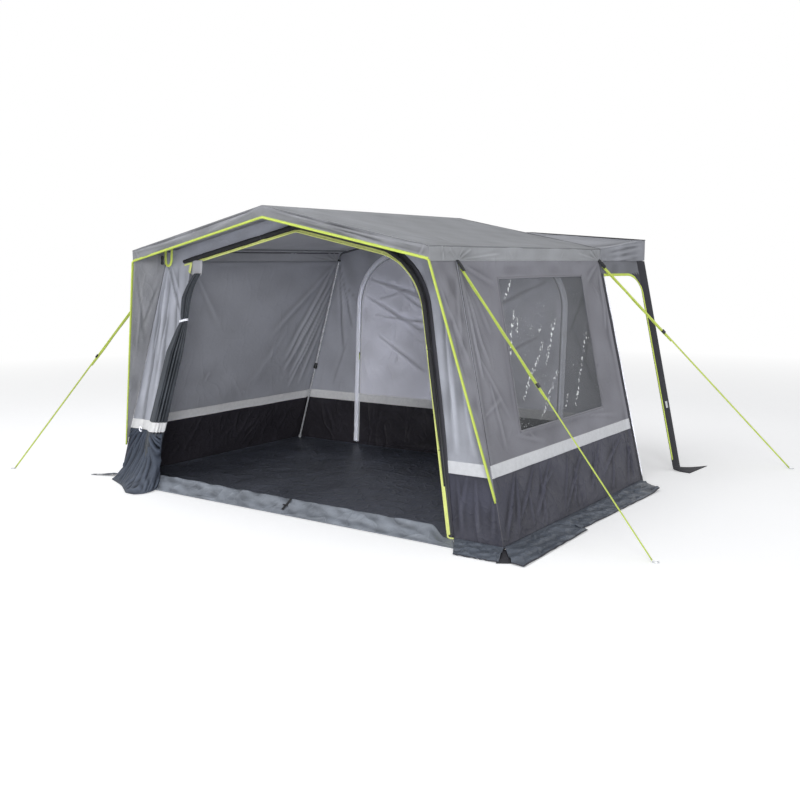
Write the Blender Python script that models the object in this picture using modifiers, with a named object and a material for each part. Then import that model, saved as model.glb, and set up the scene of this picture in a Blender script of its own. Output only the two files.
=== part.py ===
"""Drive-away awning for a campervan.

A ridge-roofed room with a wide arched doorway under a short canopy, and a low tunnel
behind it whose open end meets the vehicle. The cloth hangs on telescopic corner legs and
bent roof poles, and four webbing guys with sliding tensioners hold the corners.

Metres, +Z up, +X to the right of someone who looks at the doorway, +Y towards the
vehicle. The origin is on the ground, in the middle of the footprint.
"""

import math

import bmesh
import bpy
from mathutils import Matrix, Vector

# Room
GROUND_WIDTH = 3.90
EAVE_WIDTH = 2.92
ROOM_DEPTH = 2.40
EAVE_HEIGHT = 1.99
RIDGE_HEIGHT = 2.30
EAVE_BAND = 0.105  # upright hem that hangs from the roof's side edges
FRONT_SET_BACK = 0.19  # how far the front wall leans in where the hem ends
REAR_LEAN_OUT = 0.115  # how far the rear wall leans towards the vehicle there
CANOPY_REACH = 0.16  # roof edge in front of the doorway's ground line
ROOF_OVERRUN = 0.145  # roof edge behind the rear wall's ground line
FASCIA_DROP = 0.095
WING_FOOT_HEIGHT = 0.30  # where each canopy wing runs out on its corner

# Tunnel
TUNNEL_DEPTH = 0.70
VEHICLE_EDGE_HEIGHT = 2.07
VEHICLE_EDGE_WIDTH = 3.30
VEHICLE_CREST_HEIGHT = 2.165
VEHICLE_CREST_WIDTH = 1.00
VEHICLE_FOOT_WIDTH = 4.11
TUNNEL_HEADER = 0.13  # cloth above each of the tunnel's doors
TUNNEL_DOOR_CORNER = 0.17
TUNNEL_POST_WIDTH = 0.035
VEHICLE_STRIP_WIDTH = 0.125

# Doorways and window
DOOR_FOOT_WIDTH = 3.044
DOOR_SIDE_LEAN = 0.20
DOOR_HEADER = 0.175  # from the doorway's peak to the ridge
DOOR_CORNER = 0.52
REAR_DOOR_WIDTH = 2.26
REAR_DOOR_HEADER = 0.21  # from the rear doorway's peak to the ridge
REAR_DOOR_CORNER = 0.50
REAR_DOOR_SILL = 0.03
WINDOW_BOTTOM = 0.70
WINDOW_HEADER = 0.128  # from the window to the hem
WINDOW_FRONT = 0.555  # lower front corner, behind the doorway's ground line
WINDOW_LENGTH = 1.40
WINDOW_RAKE = 0.13  # the window's sides lean back by this per metre
WINDOW_CORNER = 0.02

# Ground cloth
FLAP_WIDTH = 0.285
FLAP_END_TAPER = 0.14
FLAP_CORNER_GAP = 0.02
DOOR_TO_FLAP = 0.04
LEFT_FLAP_REACH = 0.38
LEFT_FLAP_INNER = 1.26
SILL_REACH = 0.17
SILL_HEIGHT = 0.088
SILL_WIDTH = 2.96
SILL_SPREAD = 0.03
FOOT_FLAP_REACH = 0.26
FOOT_FLAP_WIDTH = 0.17

# Thicknesses and clearances
CLOTH = 0.003
PANE = 0.002
STRIP_PADDING = 0.006
SEAM = 0.005  # cloth kept back from a corner that two panels share
GAP = 0.0003
EDGE_GAP = 0.002

# Trim
PIPING_RADIUS = 0.005
PIPING_TAIL = 0.05
PIPING_BEND = 0.03
BINDING_RADIUS = 0.006
BEADING_RADIUS = 0.004
MESH_ROLL_RADIUS = 0.024
MESH_ROLL_FOOT = 0.62

# Frame
LEG_INSET = 0.055
LEG_OUTER_RADIUS = 0.0125
LEG_BORE_RADIUS = 0.011
LEG_INNER_RADIUS = 0.0095
LEG_INNER_BORE = 0.0082
LEG_SLEEVE_START = 0.80
LEG_INNER_LENGTH = 1.20
LEG_TOP_DROP = 0.03
LEG_FOOT_RADIUS = 0.017
LEG_FOOT_HEIGHT = 0.034
POLE_RADIUS = 0.0065
GABLE_POLE_RADIUS = 0.0095
EAVE_POLE_INSET = 0.12
POLE_COVER = 0.0035  # between a roof pole and the cloth above it
SPIGOT_DEPTH = 0.06
POLE_BEND = 0.06
POLE_END_GAP = 0.045

# Guys: how far each runs outwards and backwards to the ground, and where its tensioner sits
GUY_RUNS = {
    "front_right": (1.41, 0.11),
    "front_left": (1.61, -0.53),
    "rear_right": (1.43, 1.145),
    "rear_left": (1.43, 1.145),
}
TENSIONER_REACH = {
    "front_right": 1.01,
    "front_left": 1.085,
    "rear_right": 0.865,
    "rear_left": 0.865,
}
STRAP_WIDTH = 0.018
STRAP_THICKNESS = 0.002
STRAP_START = 0.010
STRAP_TAPER = 0.026
STRAP_TIP = 0.002
BUCKLE_START = 0.013
BUCKLE_SIZE = (0.026, 0.062, 0.004)
BUCKLE_TIP = 0.010
BUCKLE_SHOULDER = 0.024
BUCKLE_SLOT = (0.019, 0.008)
BUCKLE_SLOT_PLACES = (0.034, 0.050)
BUCKLE_CORNER = 0.006
TENSIONER_SIZE = (0.032, 0.012, 0.034)
TENSIONER_CORNER = 0.003
TENSIONER_CLEARANCE = 0.0004
RING_RADIUS = 0.020
RING_WIRE = 0.0028

# Rear door's zip
ZIP_HEIGHT = 0.95
ZIP_SIZE = (0.010, 0.008, 0.026)
ZIP_EDGE = 0.008  # middle of the slider, outside the door's edge
PULL_SIZE = (0.007, 0.0025, 0.062)
BINDING_EDGE = 0.022

# Gathered door
CURTAIN_TIE = 1.41
CURTAIN_FOLDS = 7
CURTAIN_FOLD_DEPTH = 0.16
CURTAIN_TWIST = 0.9
CURTAIN_POINTS = 42
CURTAIN_RINGS = 16
CURTAIN_FLATNESS = 0.55
CURTAIN_DROP = 0.085  # from the hem's height to the curtain's top
CURTAIN_LIFT = 0.004  # from the sill to the curtain's foot

# Derived
FOOTPRINT_DEPTH = LEFT_FLAP_REACH + ROOM_DEPTH + TUNNEL_DEPTH + FOOT_FLAP_REACH
FRONT_Y = LEFT_FLAP_REACH - FOOTPRINT_DEPTH / 2
REAR_Y = FRONT_Y + ROOM_DEPTH
VEHICLE_Y = REAR_Y + TUNNEL_DEPTH
CANOPY_Y = FRONT_Y - CANOPY_REACH
ROOF_BACK_Y = REAR_Y + ROOF_OVERRUN
HALF_GROUND = GROUND_WIDTH / 2
HALF_TOP = EAVE_WIDTH / 2
WALL_TOP = EAVE_HEIGHT - EAVE_BAND
SIDE_LEAN = (HALF_GROUND - HALF_TOP) / WALL_TOP
FRONT_LEAN = FRONT_SET_BACK / WALL_TOP
REAR_LEAN = REAR_LEAN_OUT / WALL_TOP
ROOF_SLOPE = (RIDGE_HEIGHT - EAVE_HEIGHT) / HALF_TOP
ROOF_STRETCH = math.hypot(1, ROOF_SLOPE)
GROUND_GAP = 0.0012  # an upright panel's lower edge, above the ground
SIDES = {"right": 1, "left": -1}
TUNNEL_DOOR_HEAD = WALL_TOP - TUNNEL_HEADER
DOOR_PEAK = RIDGE_HEIGHT - DOOR_HEADER
REAR_DOOR_PEAK = RIDGE_HEIGHT - REAR_DOOR_HEADER
WINDOW_TOP = WALL_TOP - WINDOW_HEADER
CURTAIN_TOP = WALL_TOP - CURTAIN_DROP
CURTAIN_FOOT = SILL_HEIGHT + CURTAIN_LIFT

# The gathered door's half widths and sideways shifts from the doorway's edge, by height
CURTAIN_HALF_WIDTHS = [
    (CURTAIN_TOP, 0.034), (1.60, 0.048), (CURTAIN_TIE, 0.046), (1.155, 0.094), (0.50, 0.110), (0.0, 0.112),
]
CURTAIN_SHIFTS = [(CURTAIN_TOP, 0.026), (CURTAIN_TIE, 0.026), (1.155, 0.013), (0.50, -0.056), (0.0, 0.030)]


def linear(red, green, blue):
    """A colour given as 0 to 255 values, as a linear one."""
    def channel(value):
        share = value / 255
        return share / 12.92 if share <= 0.04045 else ((share + 0.055) / 1.055) ** 2.4
    return (channel(red), channel(green), channel(blue), 1.0)


def finish(name, colour, roughness, metallic=0.0, alpha=1.0):
    material = bpy.data.materials.new(name)
    material.use_nodes = True
    shader = material.node_tree.nodes["Principled BSDF"]
    shader.inputs["Base Color"].default_value = linear(*colour)
    shader.inputs["Roughness"].default_value = roughness
    shader.inputs["Metallic"].default_value = metallic
    shader.inputs["Alpha"].default_value = alpha
    material.diffuse_color = (*linear(*colour)[:3], alpha)
    return material


def make_finishes():
    return {
        "roof cloth": finish("roof_cloth", (142, 145, 148), 0.75),
        "wall cloth": finish("wall_cloth", (138, 138, 146), 0.75),
        "door cloth": finish("door_cloth", (58, 60, 66), 0.8),
        "ground cloth": finish("ground_cloth", (62, 68, 72), 0.6),
        "skirt cloth": finish("skirt_cloth", (76, 83, 94), 0.65),
        "strip cloth": finish("strip_cloth", (48, 48, 54), 0.8),
        "clear film": finish("clear_film", (190, 195, 200), 0.1, alpha=0.35),
        "lime webbing": finish("lime_webbing", (205, 226, 92), 0.6),
        "pale binding": finish("pale_binding", (190, 190, 196), 0.6),
        "black plastic": finish("black_plastic", (28, 29, 32), 0.4),
        "steel": finish("steel", (188, 190, 194), 0.35, metallic=1.0),
        "glass fibre": finish("glass_fibre", (60, 62, 66), 0.45),
    }


# Surfaces that the cloth lies on


def roof_height(across):
    return RIDGE_HEIGHT - ROOF_SLOPE * abs(across)


def below_roof(across, depth):
    """Height at a depth under the roof, measured square to it."""
    return roof_height(across) - depth * ROOF_STRETCH


def front_at(across, height):
    return Vector((across, FRONT_Y + FRONT_LEAN * height, height))


def rear_at(across, height):
    return Vector((across, REAR_Y + REAR_LEAN * height, height))


def corner_half(height):
    """Half the room's width at a height, up to the hem."""
    return HALF_GROUND - SIDE_LEAN * min(height, WALL_TOP)


def side_at(side):
    return lambda y, height: Vector((side * corner_half(height), y, height))


def tunnel_side_at(side):
    """Place on the tunnel's twisted side: share of the way to the vehicle, and height."""
    foot = VEHICLE_FOOT_WIDTH / 2
    top = VEHICLE_EDGE_WIDTH / 2

    def place(share, height):
        room = Vector((corner_half(height), REAR_Y + REAR_LEAN * height, height))
        vehicle = Vector((foot + (top - foot) * height / WALL_TOP, VEHICLE_Y, height))
        spot = room.lerp(vehicle, share)
        return Vector((side * spot.x, spot.y, spot.z))

    return place


def on_ground(across, y):
    return Vector((across, y, CLOTH))


# Outlines


def arch(foot_width, lean, peak, radius, foot=0.0, grow=0.0, steps=7):
    """A doorway from its right foot over the top to its left foot, grown outwards by grow."""
    half = foot_width / 2
    side_norm = math.hypot(1, lean)
    centre_side = half - radius * side_norm
    centre_head = peak - radius * ROOF_STRETCH
    det = 1 - lean * ROOF_SLOPE
    centre_x = (centre_side - lean * centre_head) / det
    centre_z = (centre_head - ROOF_SLOPE * centre_side) / det
    start = math.atan2(lean, 1)
    end = math.atan2(1, ROOF_SLOPE)
    right = [(half + grow * side_norm - lean * foot, foot)]
    for step in range(steps + 1):
        angle = start + (end - start) * step / steps
        right.append(
            (
                centre_x + (radius + grow) * math.cos(angle),
                centre_z + (radius + grow) * math.sin(angle),
            )
        )
    left = [(-x, z) for x, z in reversed(right)]
    return [*right, (0.0, peak + grow * ROOF_STRETCH), *left]


def door_arch(foot=0.0, grow=0.0, steps=7):
    return arch(DOOR_FOOT_WIDTH, DOOR_SIDE_LEAN, DOOR_PEAK, DOOR_CORNER, foot, grow, steps)


def rear_door_arch(foot=0.0, grow=0.0, steps=7):
    return arch(REAR_DOOR_WIDTH, 0.0, REAR_DOOR_PEAK, REAR_DOOR_CORNER, foot, grow, steps)


def gable_outline(top_depth):
    """Right foot, right shoulder, right eave, peak and their mirror images."""
    foot = HALF_GROUND - SIDE_LEAN * GROUND_GAP - SEAM
    shoulder = HALF_TOP - SEAM
    right = [
        (foot, GROUND_GAP),
        (shoulder, WALL_TOP),
        (shoulder, below_roof(shoulder, top_depth)),
    ]
    peak = (0.0, below_roof(0.0, top_depth))
    return [*right, peak, *[(-x, z) for x, z in reversed(right)]]


def rounded_box(width, height, radius, steps=3):
    """A rectangle about the origin with round corners."""
    points = []
    for quarter in range(4):
        middle = math.radians(45 + 90 * quarter)
        centre = Vector((math.copysign(width / 2 - radius, math.cos(middle)),
                         math.copysign(height / 2 - radius, math.sin(middle))))
        for step in range(steps + 1):
            angle = math.radians(90 * (quarter + step / steps))
            points.append((centre.x + radius * math.cos(angle), centre.y + radius * math.sin(angle)))
    return points


def rounded_path(points, radius, steps=5):
    """A line through points, with each inner corner replaced by an arc."""
    path = [Vector(points[0])]
    for before, corner, after in zip(points, points[1:], points[2:]):
        corner = Vector(corner)
        back = (Vector(before) - corner).normalized()
        ahead = (Vector(after) - corner).normalized()
        half_angle = back.angle(ahead) / 2
        reach = radius / math.tan(half_angle)
        centre = corner + (back + ahead).normalized() * radius / math.sin(half_angle)
        start = corner + back * reach - centre
        end = corner + ahead * reach - centre
        for step in range(steps + 1):
            path.append(centre + start.slerp(end, step / steps) * radius)
    path.append(Vector(points[-1]))
    return path


def along_steps(steps, value):
    """Straight-line reading of a list of (height, size) pairs that runs downwards."""
    for (high, first), (low, second) in zip(steps, steps[1:]):
        if value >= low:
            share = min(1, (high - value) / (high - low))
            return first + (second - first) * share
    return steps[-1][1]


def curtain_across(height):
    """Middle of the gathered door, which hangs along the doorway's left edge."""
    arch_edge = sorted(((z, x) for x, z in door_arch() if x >= 0), reverse=True)
    return along_steps(CURTAIN_SHIFTS, height) - along_steps(arch_edge, height)


# Makers


def add_object(name, data, material, collection):
    piece = bpy.data.objects.new(name, data)
    if material:
        piece.data.materials.append(material)
    collection.objects.link(piece)
    return piece


def settle(piece, origin):
    """Give a piece its own origin without moving it."""
    piece.data.transform(Matrix.Translation(piece.location - origin))
    piece.location = origin
    return piece


def middle_of(points):
    low = Vector([min(point[axis] for point in points) for axis in range(3)])
    high = Vector([max(point[axis] for point in points) for axis in range(3)])
    return (low + high) / 2


def flat_curve(name, loops, extrude=0.0):
    curve = bpy.data.curves.new(name, "CURVE")
    curve.dimensions = "2D"
    curve.fill_mode = "BOTH"
    curve.extrude = extrude
    for loop in loops:
        spline = curve.splines.new("POLY")
        spline.points.add(len(loop) - 1)
        for point, (u, v) in zip(spline.points, loop):
            point.co = (u, v, 0, 1)
        spline.use_cyclic_u = True
    return curve


def add_solidify(piece, thickness, offset):
    solidify = piece.modifiers.new("thickness", "SOLIDIFY")
    solidify.thickness = thickness
    solidify.offset = offset
    solidify.use_even_offset = True
    solidify.use_quality_normals = True


def cloth_panel(name, collection, material, outline, place, holes=(), thickness=CLOTH, offset=-1.0):
    """A filled outline laid on a surface by place(u, v), and thickened to one side of it."""
    filled = add_object(name + "_outline", flat_curve(name, [outline, *holes]), None, collection)
    bpy.context.view_layer.update()
    mesh = bpy.data.meshes.new_from_object(
        filled.evaluated_get(bpy.context.evaluated_depsgraph_get())
    )
    bpy.data.objects.remove(filled)
    grid = bmesh.new()
    grid.from_mesh(mesh)
    bmesh.ops.remove_doubles(grid, verts=grid.verts, dist=1e-6)
    for vertex in grid.verts:
        vertex.co = place(vertex.co.x, vertex.co.y)
    grid.to_mesh(mesh)
    grid.free()
    mesh.name = name
    mesh.materials.clear()
    piece = add_object(name, mesh, material, collection)
    add_solidify(piece, thickness, offset)
    return settle(piece, middle_of([vertex.co for vertex in mesh.vertices]))


def cloth_loft(name, collection, material, rows, thickness=CLOTH, offset=-1.0):
    """An open surface through rows of points, thickened to one side of it."""
    columns = len(rows[0])
    grid = bmesh.new()
    bmesh.ops.create_grid(grid, x_segments=columns - 1, y_segments=len(rows) - 1, size=1)
    grid.verts.ensure_lookup_table()
    for index, vertex in enumerate(grid.verts):
        vertex.co = rows[index // columns][index % columns]
    mesh = bpy.data.meshes.new(name)
    grid.to_mesh(mesh)
    grid.free()
    piece = add_object(name, mesh, material, collection)
    add_solidify(piece, thickness, offset)
    return settle(piece, middle_of([point for row in rows for point in row]))


def plate(name, collection, material, loops, thickness, matrix):
    """A flat outline of even thickness about the matrix's own plane."""
    piece = add_object(name, flat_curve(name, loops, thickness / 2), material, collection)
    piece.matrix_world = matrix
    return piece


def tube(name, collection, material, points, radius, resolution=2):
    curve = bpy.data.curves.new(name, "CURVE")
    curve.dimensions = "3D"
    curve.bevel_depth = radius
    curve.bevel_resolution = resolution
    curve.use_fill_caps = True
    spline = curve.splines.new("POLY")
    spline.points.add(len(points) - 1)
    for point, spot in zip(spline.points, points):
        point.co = (*spot, 1)
    return settle(add_object(name, curve, material, collection), middle_of(points))


def turned(name, collection, material, profile, matrix, steps=16, closed=False):
    """A profile of radius and height turned about its own Z."""
    outline = bmesh.new()
    corners = [outline.verts.new((radius, 0, height)) for radius, height in profile]
    for first, second in zip(corners, corners[1:]):
        outline.edges.new((first, second))
    if closed:
        outline.edges.new((corners[-1], corners[0]))
    mesh = bpy.data.meshes.new(name)
    outline.to_mesh(mesh)
    outline.free()
    piece = add_object(name, mesh, material, collection)
    screw = piece.modifiers.new("turn", "SCREW")
    screw.axis = "Z"
    screw.steps = steps
    screw.render_steps = steps
    screw.use_merge_vertices = True
    screw.merge_threshold = 0.00001
    screw.use_smooth_shade = True
    piece.matrix_world = matrix
    return piece


def box(name, collection, material, size, matrix):
    block = bmesh.new()
    bmesh.ops.create_cube(block, size=1, matrix=Matrix.Diagonal((*size, 1)))
    mesh = bpy.data.meshes.new(name)
    block.to_mesh(mesh)
    block.free()
    piece = add_object(name, mesh, material, collection)
    piece.matrix_world = matrix
    return piece


def frame_of(x_axis, y_axis, z_axis, origin):
    rotation = Matrix((x_axis, y_axis, z_axis)).transposed()
    return Matrix.Translation(origin) @ rotation.to_4x4()


# Roof and canopy


def build_roof(collection, finishes):
    front = CANOPY_Y + CLOTH + GAP
    for word, side in SIDES.items():
        rows = [
            [Vector((side * x, y, z)) for x, z in (
                (EDGE_GAP, roof_height(EDGE_GAP)),
                (HALF_TOP, EAVE_HEIGHT),
                (HALF_TOP, WALL_TOP + EDGE_GAP),
            )]
            for y in (front, ROOF_BACK_Y)
        ]
        cloth_loft("roof_" + word, collection, finishes["roof cloth"], rows, offset=-side)


def build_fascia(collection, finishes):
    top = [(HALF_TOP, EAVE_HEIGHT), (0.0, RIDGE_HEIGHT), (-HALF_TOP, EAVE_HEIGHT)]
    bottom = [(x, z - FASCIA_DROP) for x, z in reversed(top)]
    cloth_panel("canopy_fascia", collection, finishes["roof cloth"], [*top, *bottom],
                lambda x, z: Vector((x, CANOPY_Y, z)))


def wing_corners(side):
    """The canopy corner, the corner's top and the point where the wing runs out."""
    foot = front_at(side * corner_half(WING_FOOT_HEIGHT), WING_FOOT_HEIGHT)
    top = front_at(side * HALF_TOP, WALL_TOP)
    return Vector((side * HALF_TOP, CANOPY_Y + CLOTH, WALL_TOP)), top, foot


def build_wings(collection, finishes):
    for word, side in SIDES.items():
        canopy, top, foot = wing_corners(side)
        inset = Vector((0, SEAM, 0))
        lower = Vector((0, 0, EDGE_GAP))
        rows = [
            [canopy - lower, foot - 2 * inset],
            [top - inset - lower, foot - inset],
        ]
        cloth_loft("canopy_wing_" + word, collection, finishes["roof cloth"], rows, offset=-side)


def build_canopy_piping(collection, finishes):
    """Piping up one wing's edge, along the fascia's lower edge and down the other wing."""
    before_wing = Vector((0, -(2 * SEAM + PIPING_RADIUS + EDGE_GAP), 0))
    before_fascia = Vector((0, -(PIPING_RADIUS + EDGE_GAP), PIPING_RADIUS))
    ends = []
    for side in (1, -1):
        _, _, foot = wing_corners(side)
        hem = Vector((side * HALF_TOP, CANOPY_Y, EAVE_HEIGHT - FASCIA_DROP))
        ends.append((foot + before_wing, hem + before_fascia))
    peak = Vector((0, CANOPY_Y, RIDGE_HEIGHT - FASCIA_DROP)) + before_fascia
    (right_foot, right_hem), (left_foot, left_hem) = ends
    path = rounded_path([right_foot, right_hem, peak, left_hem, left_foot], PIPING_BEND)
    tube("canopy_piping", collection, finishes["lime webbing"], path, PIPING_RADIUS)


# Walls


def build_front_wall(collection, finishes):
    depth = CLOTH + POLE_COVER + 2 * POLE_RADIUS + EDGE_GAP
    outline = [*gable_outline(depth), *reversed(door_arch(GROUND_GAP))]
    cloth_panel("front_wall", collection, finishes["wall cloth"], outline, front_at)


def front_skin(path, stand_off):
    """Points of the front wall's plane, moved out of it towards the visitor."""
    outwards = Vector((0, -1, FRONT_LEAN)).normalized()
    return [front_at(x, z) + outwards * stand_off for x, z in path]


def build_door_piping(collection, finishes):
    """Piping inside the doorway's edge, with a short tail on the wall at its right foot."""
    stand_off = PIPING_RADIUS + GAP
    foot = 2 * PIPING_RADIUS
    path = door_arch(foot, -PIPING_RADIUS - EDGE_GAP, steps=10)
    tail = (path[0][0] + PIPING_TAIL, foot)
    tube("door_piping", collection, finishes["lime webbing"],
         front_skin([tail, *path], stand_off), PIPING_RADIUS)


def build_mesh_roll(collection, finishes):
    """The rolled-up insect mesh, held along the arch and down the right side."""
    grow = MESH_ROLL_RADIUS + EDGE_GAP
    end = curtain_across(CURTAIN_TOP) + along_steps(CURTAIN_HALF_WIDTHS, CURTAIN_TOP) + MESH_ROLL_RADIUS
    path = [(x, z) for x, z in door_arch(MESH_ROLL_FOOT, grow) if x > end]
    stand_off = MESH_ROLL_RADIUS + PIPING_RADIUS
    tube("mesh_roll", collection, finishes["door cloth"],
         front_skin(path, stand_off), MESH_ROLL_RADIUS)


def window_outline(inset):
    height = (WINDOW_BOTTOM + WINDOW_TOP) / 2
    middle = FRONT_Y + WINDOW_FRONT + WINDOW_LENGTH / 2
    points = rounded_box(WINDOW_LENGTH - 2 * inset, WINDOW_TOP - WINDOW_BOTTOM - 2 * inset,
                         WINDOW_CORNER)
    rise = WINDOW_TOP - WINDOW_BOTTOM
    return [(middle + u + WINDOW_RAKE * (v + rise / 2), height + v) for u, v in points]


def build_side_walls(collection, finishes):
    top = WALL_TOP - EDGE_GAP
    outline = [
        (FRONT_Y + FRONT_LEAN * GROUND_GAP + SEAM, GROUND_GAP),
        (REAR_Y + REAR_LEAN * GROUND_GAP - SEAM, GROUND_GAP),
        (REAR_Y + REAR_LEAN * top - SEAM, top),
        (FRONT_Y + FRONT_LEAN * top + SEAM, top),
    ]
    for word, side in SIDES.items():
        holes = [window_outline(0.0)] if side > 0 else []
        cloth_panel("side_wall_" + word, collection, finishes["wall cloth"], outline,
                    side_at(side), holes, offset=-side)
    cloth_panel("side_window", collection, finishes["clear film"], window_outline(GAP * 2),
                side_at(1), thickness=PANE)


def build_rear_wall(collection, finishes):
    opening = rear_door_arch(REAR_DOOR_SILL)
    cloth_panel("rear_wall", collection, finishes["wall cloth"],
                gable_outline(CLOTH + EDGE_GAP), rear_at, [opening], offset=1)
    door = cloth_panel("rear_door", collection, finishes["wall cloth"],
                       rear_door_arch(REAR_DOOR_SILL + EDGE_GAP, -EDGE_GAP), rear_at, offset=1)
    settle(door, rear_at(0.0, REAR_DOOR_SILL + EDGE_GAP) - Vector((0, CLOTH / 2, 0)))


def rear_skin(path, stand_off):
    """Points of the rear wall's inner face, moved into the room."""
    inwards = Vector((0, -1, REAR_LEAN)).normalized()
    return [rear_at(x, z) + inwards * (CLOTH + stand_off) for x, z in path]


def build_rear_binding(collection, finishes):
    path = rear_door_arch(REAR_DOOR_SILL, BINDING_EDGE, steps=10)
    tube("rear_door_binding", collection, finishes["pale binding"],
         rear_skin(path, BINDING_RADIUS + GAP), BINDING_RADIUS)


def build_zip(collection, finishes):
    """The slider runs on the upright stretch of the rear door's left edge."""
    inwards = Vector((0, -1, REAR_LEAN)).normalized()
    upwards = Vector((0, REAR_LEAN, 1)).normalized()
    across = Vector((1, 0, 0))
    width, depth, length = ZIP_SIZE
    edge = -(REAR_DOOR_WIDTH / 2 + ZIP_EDGE)
    spot = rear_at(edge, ZIP_HEIGHT) + inwards * (CLOTH + GAP + depth / 2)
    box("zip_slider", collection, finishes["black plastic"], ZIP_SIZE,
        frame_of(across, -inwards, upwards, spot))
    pull_width, pull_depth, pull_length = PULL_SIZE
    hinge = spot + inwards * (depth / 2 + GAP + pull_depth / 2)
    pivot = bpy.data.objects.new("zip_pull_pivot", None)
    pivot.matrix_world = frame_of(across, -inwards, upwards, hinge)
    collection.objects.link(pivot)
    pull = box("zip_pull", collection, finishes["lime webbing"], PULL_SIZE, Matrix.Identity(4))
    pull.parent = pivot
    pull.location = (0, 0, -pull_length / 2)


# Tunnel


def build_tunnel_roof(collection, finishes):
    """Roof and side valances in one cloth, from the room's roof to the vehicle."""
    start = ROOF_BACK_Y + GAP + EDGE_GAP
    hem = WALL_TOP + EDGE_GAP * 2
    half_edge = VEHICLE_EDGE_WIDTH / 2
    half_crest = VEHICLE_CREST_WIDTH / 2
    room_half = [(EDGE_GAP, RIDGE_HEIGHT), (HALF_TOP, EAVE_HEIGHT), (HALF_TOP, hem)]
    vehicle_half = [(half_crest, VEHICLE_CREST_HEIGHT), (half_edge, VEHICLE_EDGE_HEIGHT), (half_edge, hem)]

    def row(half, y):
        left = [Vector((-x, y, z)) for x, z in reversed(half)]
        return [*left, *[Vector((x, y, z)) for x, z in half]]

    first = row(room_half, start)
    last = row(vehicle_half, VEHICLE_Y)
    middle = [one.lerp(two, 0.5) for one, two in zip(first, last)]
    cloth_loft("tunnel_roof", collection, finishes["roof cloth"], [first, middle, last])


def build_tunnel_sides(collection, finishes):
    first = SEAM / TUNNEL_DEPTH
    post = first + TUNNEL_POST_WIDTH / TUNNEL_DEPTH
    end = 1 - VEHICLE_STRIP_WIDTH / TUNNEL_DEPTH
    top = WALL_TOP - EDGE_GAP
    radius = TUNNEL_DOOR_CORNER / TUNNEL_DEPTH
    fillet = []
    for step in range(7):
        angle = math.radians(90 * step / 6)
        fillet.append((end - radius + radius * math.sin(angle),
                       TUNNEL_DOOR_HEAD - TUNNEL_DOOR_CORNER * (1 - math.cos(angle))))
    outline = [(first, GROUND_GAP), (post, GROUND_GAP), (post, TUNNEL_DOOR_HEAD), *fillet,
               (end, top), (first, top)]
    for word, side in SIDES.items():
        cloth_panel("tunnel_side_" + word, collection, finishes["wall cloth"], outline,
                    tunnel_side_at(side), offset=-side)


def build_vehicle_strips(collection, finishes):
    """Padded strips that press on the vehicle, each with a flap on the ground."""
    start = 1 - (VEHICLE_STRIP_WIDTH - EDGE_GAP) / TUNNEL_DEPTH
    for word, side in SIDES.items():
        place = tunnel_side_at(side)
        rows = []
        for step in range(7):
            height = WALL_TOP - EDGE_GAP + (STRIP_PADDING - WALL_TOP + EDGE_GAP) * step / 6
            rows.append([place(start, height), place(1.0, height)])
        inner = rows[-1][0]
        outer = rows[-1][1]
        rows.append([
            Vector((inner.x + side * FOOT_FLAP_WIDTH, inner.y + FOOT_FLAP_WIDTH, STRIP_PADDING)),
            Vector((outer.x + side * FOOT_FLAP_WIDTH, outer.y + FOOT_FLAP_REACH, STRIP_PADDING)),
        ])
        cloth_loft("vehicle_strip_" + word, collection, finishes["strip cloth"], rows,
                   thickness=STRIP_PADDING, offset=side)


def build_beading(collection, finishes):
    """The keder cord that slides into the vehicle's rail."""
    y = VEHICLE_Y + BEADING_RADIUS + GAP
    half_edge = VEHICLE_EDGE_WIDTH / 2
    half_crest = VEHICLE_CREST_WIDTH / 2
    right = [(half_edge, VEHICLE_EDGE_HEIGHT), (half_crest, VEHICLE_CREST_HEIGHT)]
    path = [*right, *[(-x, z) for x, z in reversed(right)]]
    tube("vehicle_beading", collection, finishes["black plastic"],
         [Vector((x, y, z)) for x, z in path], BEADING_RADIUS)


# Ground cloth


def build_ground(collection, finishes):
    inset = SEAM + CLOTH + EDGE_GAP
    half = HALF_GROUND - inset
    front = FRONT_Y + inset
    rear = REAR_Y - inset
    cloth_panel("groundsheet", collection, finishes["ground cloth"],
                [(half, front), (half, rear), (-half, rear), (-half, front)], on_ground)


def build_sill(collection, finishes):
    """A ridge of ground cloth across the doorway, pegged out in front."""
    half = SILL_WIDTH / 2
    rows = [
        [Vector((-half, y, z)), Vector((half + SILL_SPREAD * share, y, z))]
        for y, z, share in (
            (FRONT_Y - SILL_REACH, CLOTH, 1.0),
            (FRONT_Y - SEAM - EDGE_GAP, SILL_HEIGHT, 0.0),
            (FRONT_Y + EDGE_GAP, CLOTH, 0.0),
        )
    ]
    cloth_loft("door_sill", collection, finishes["skirt cloth"], rows)


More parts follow.
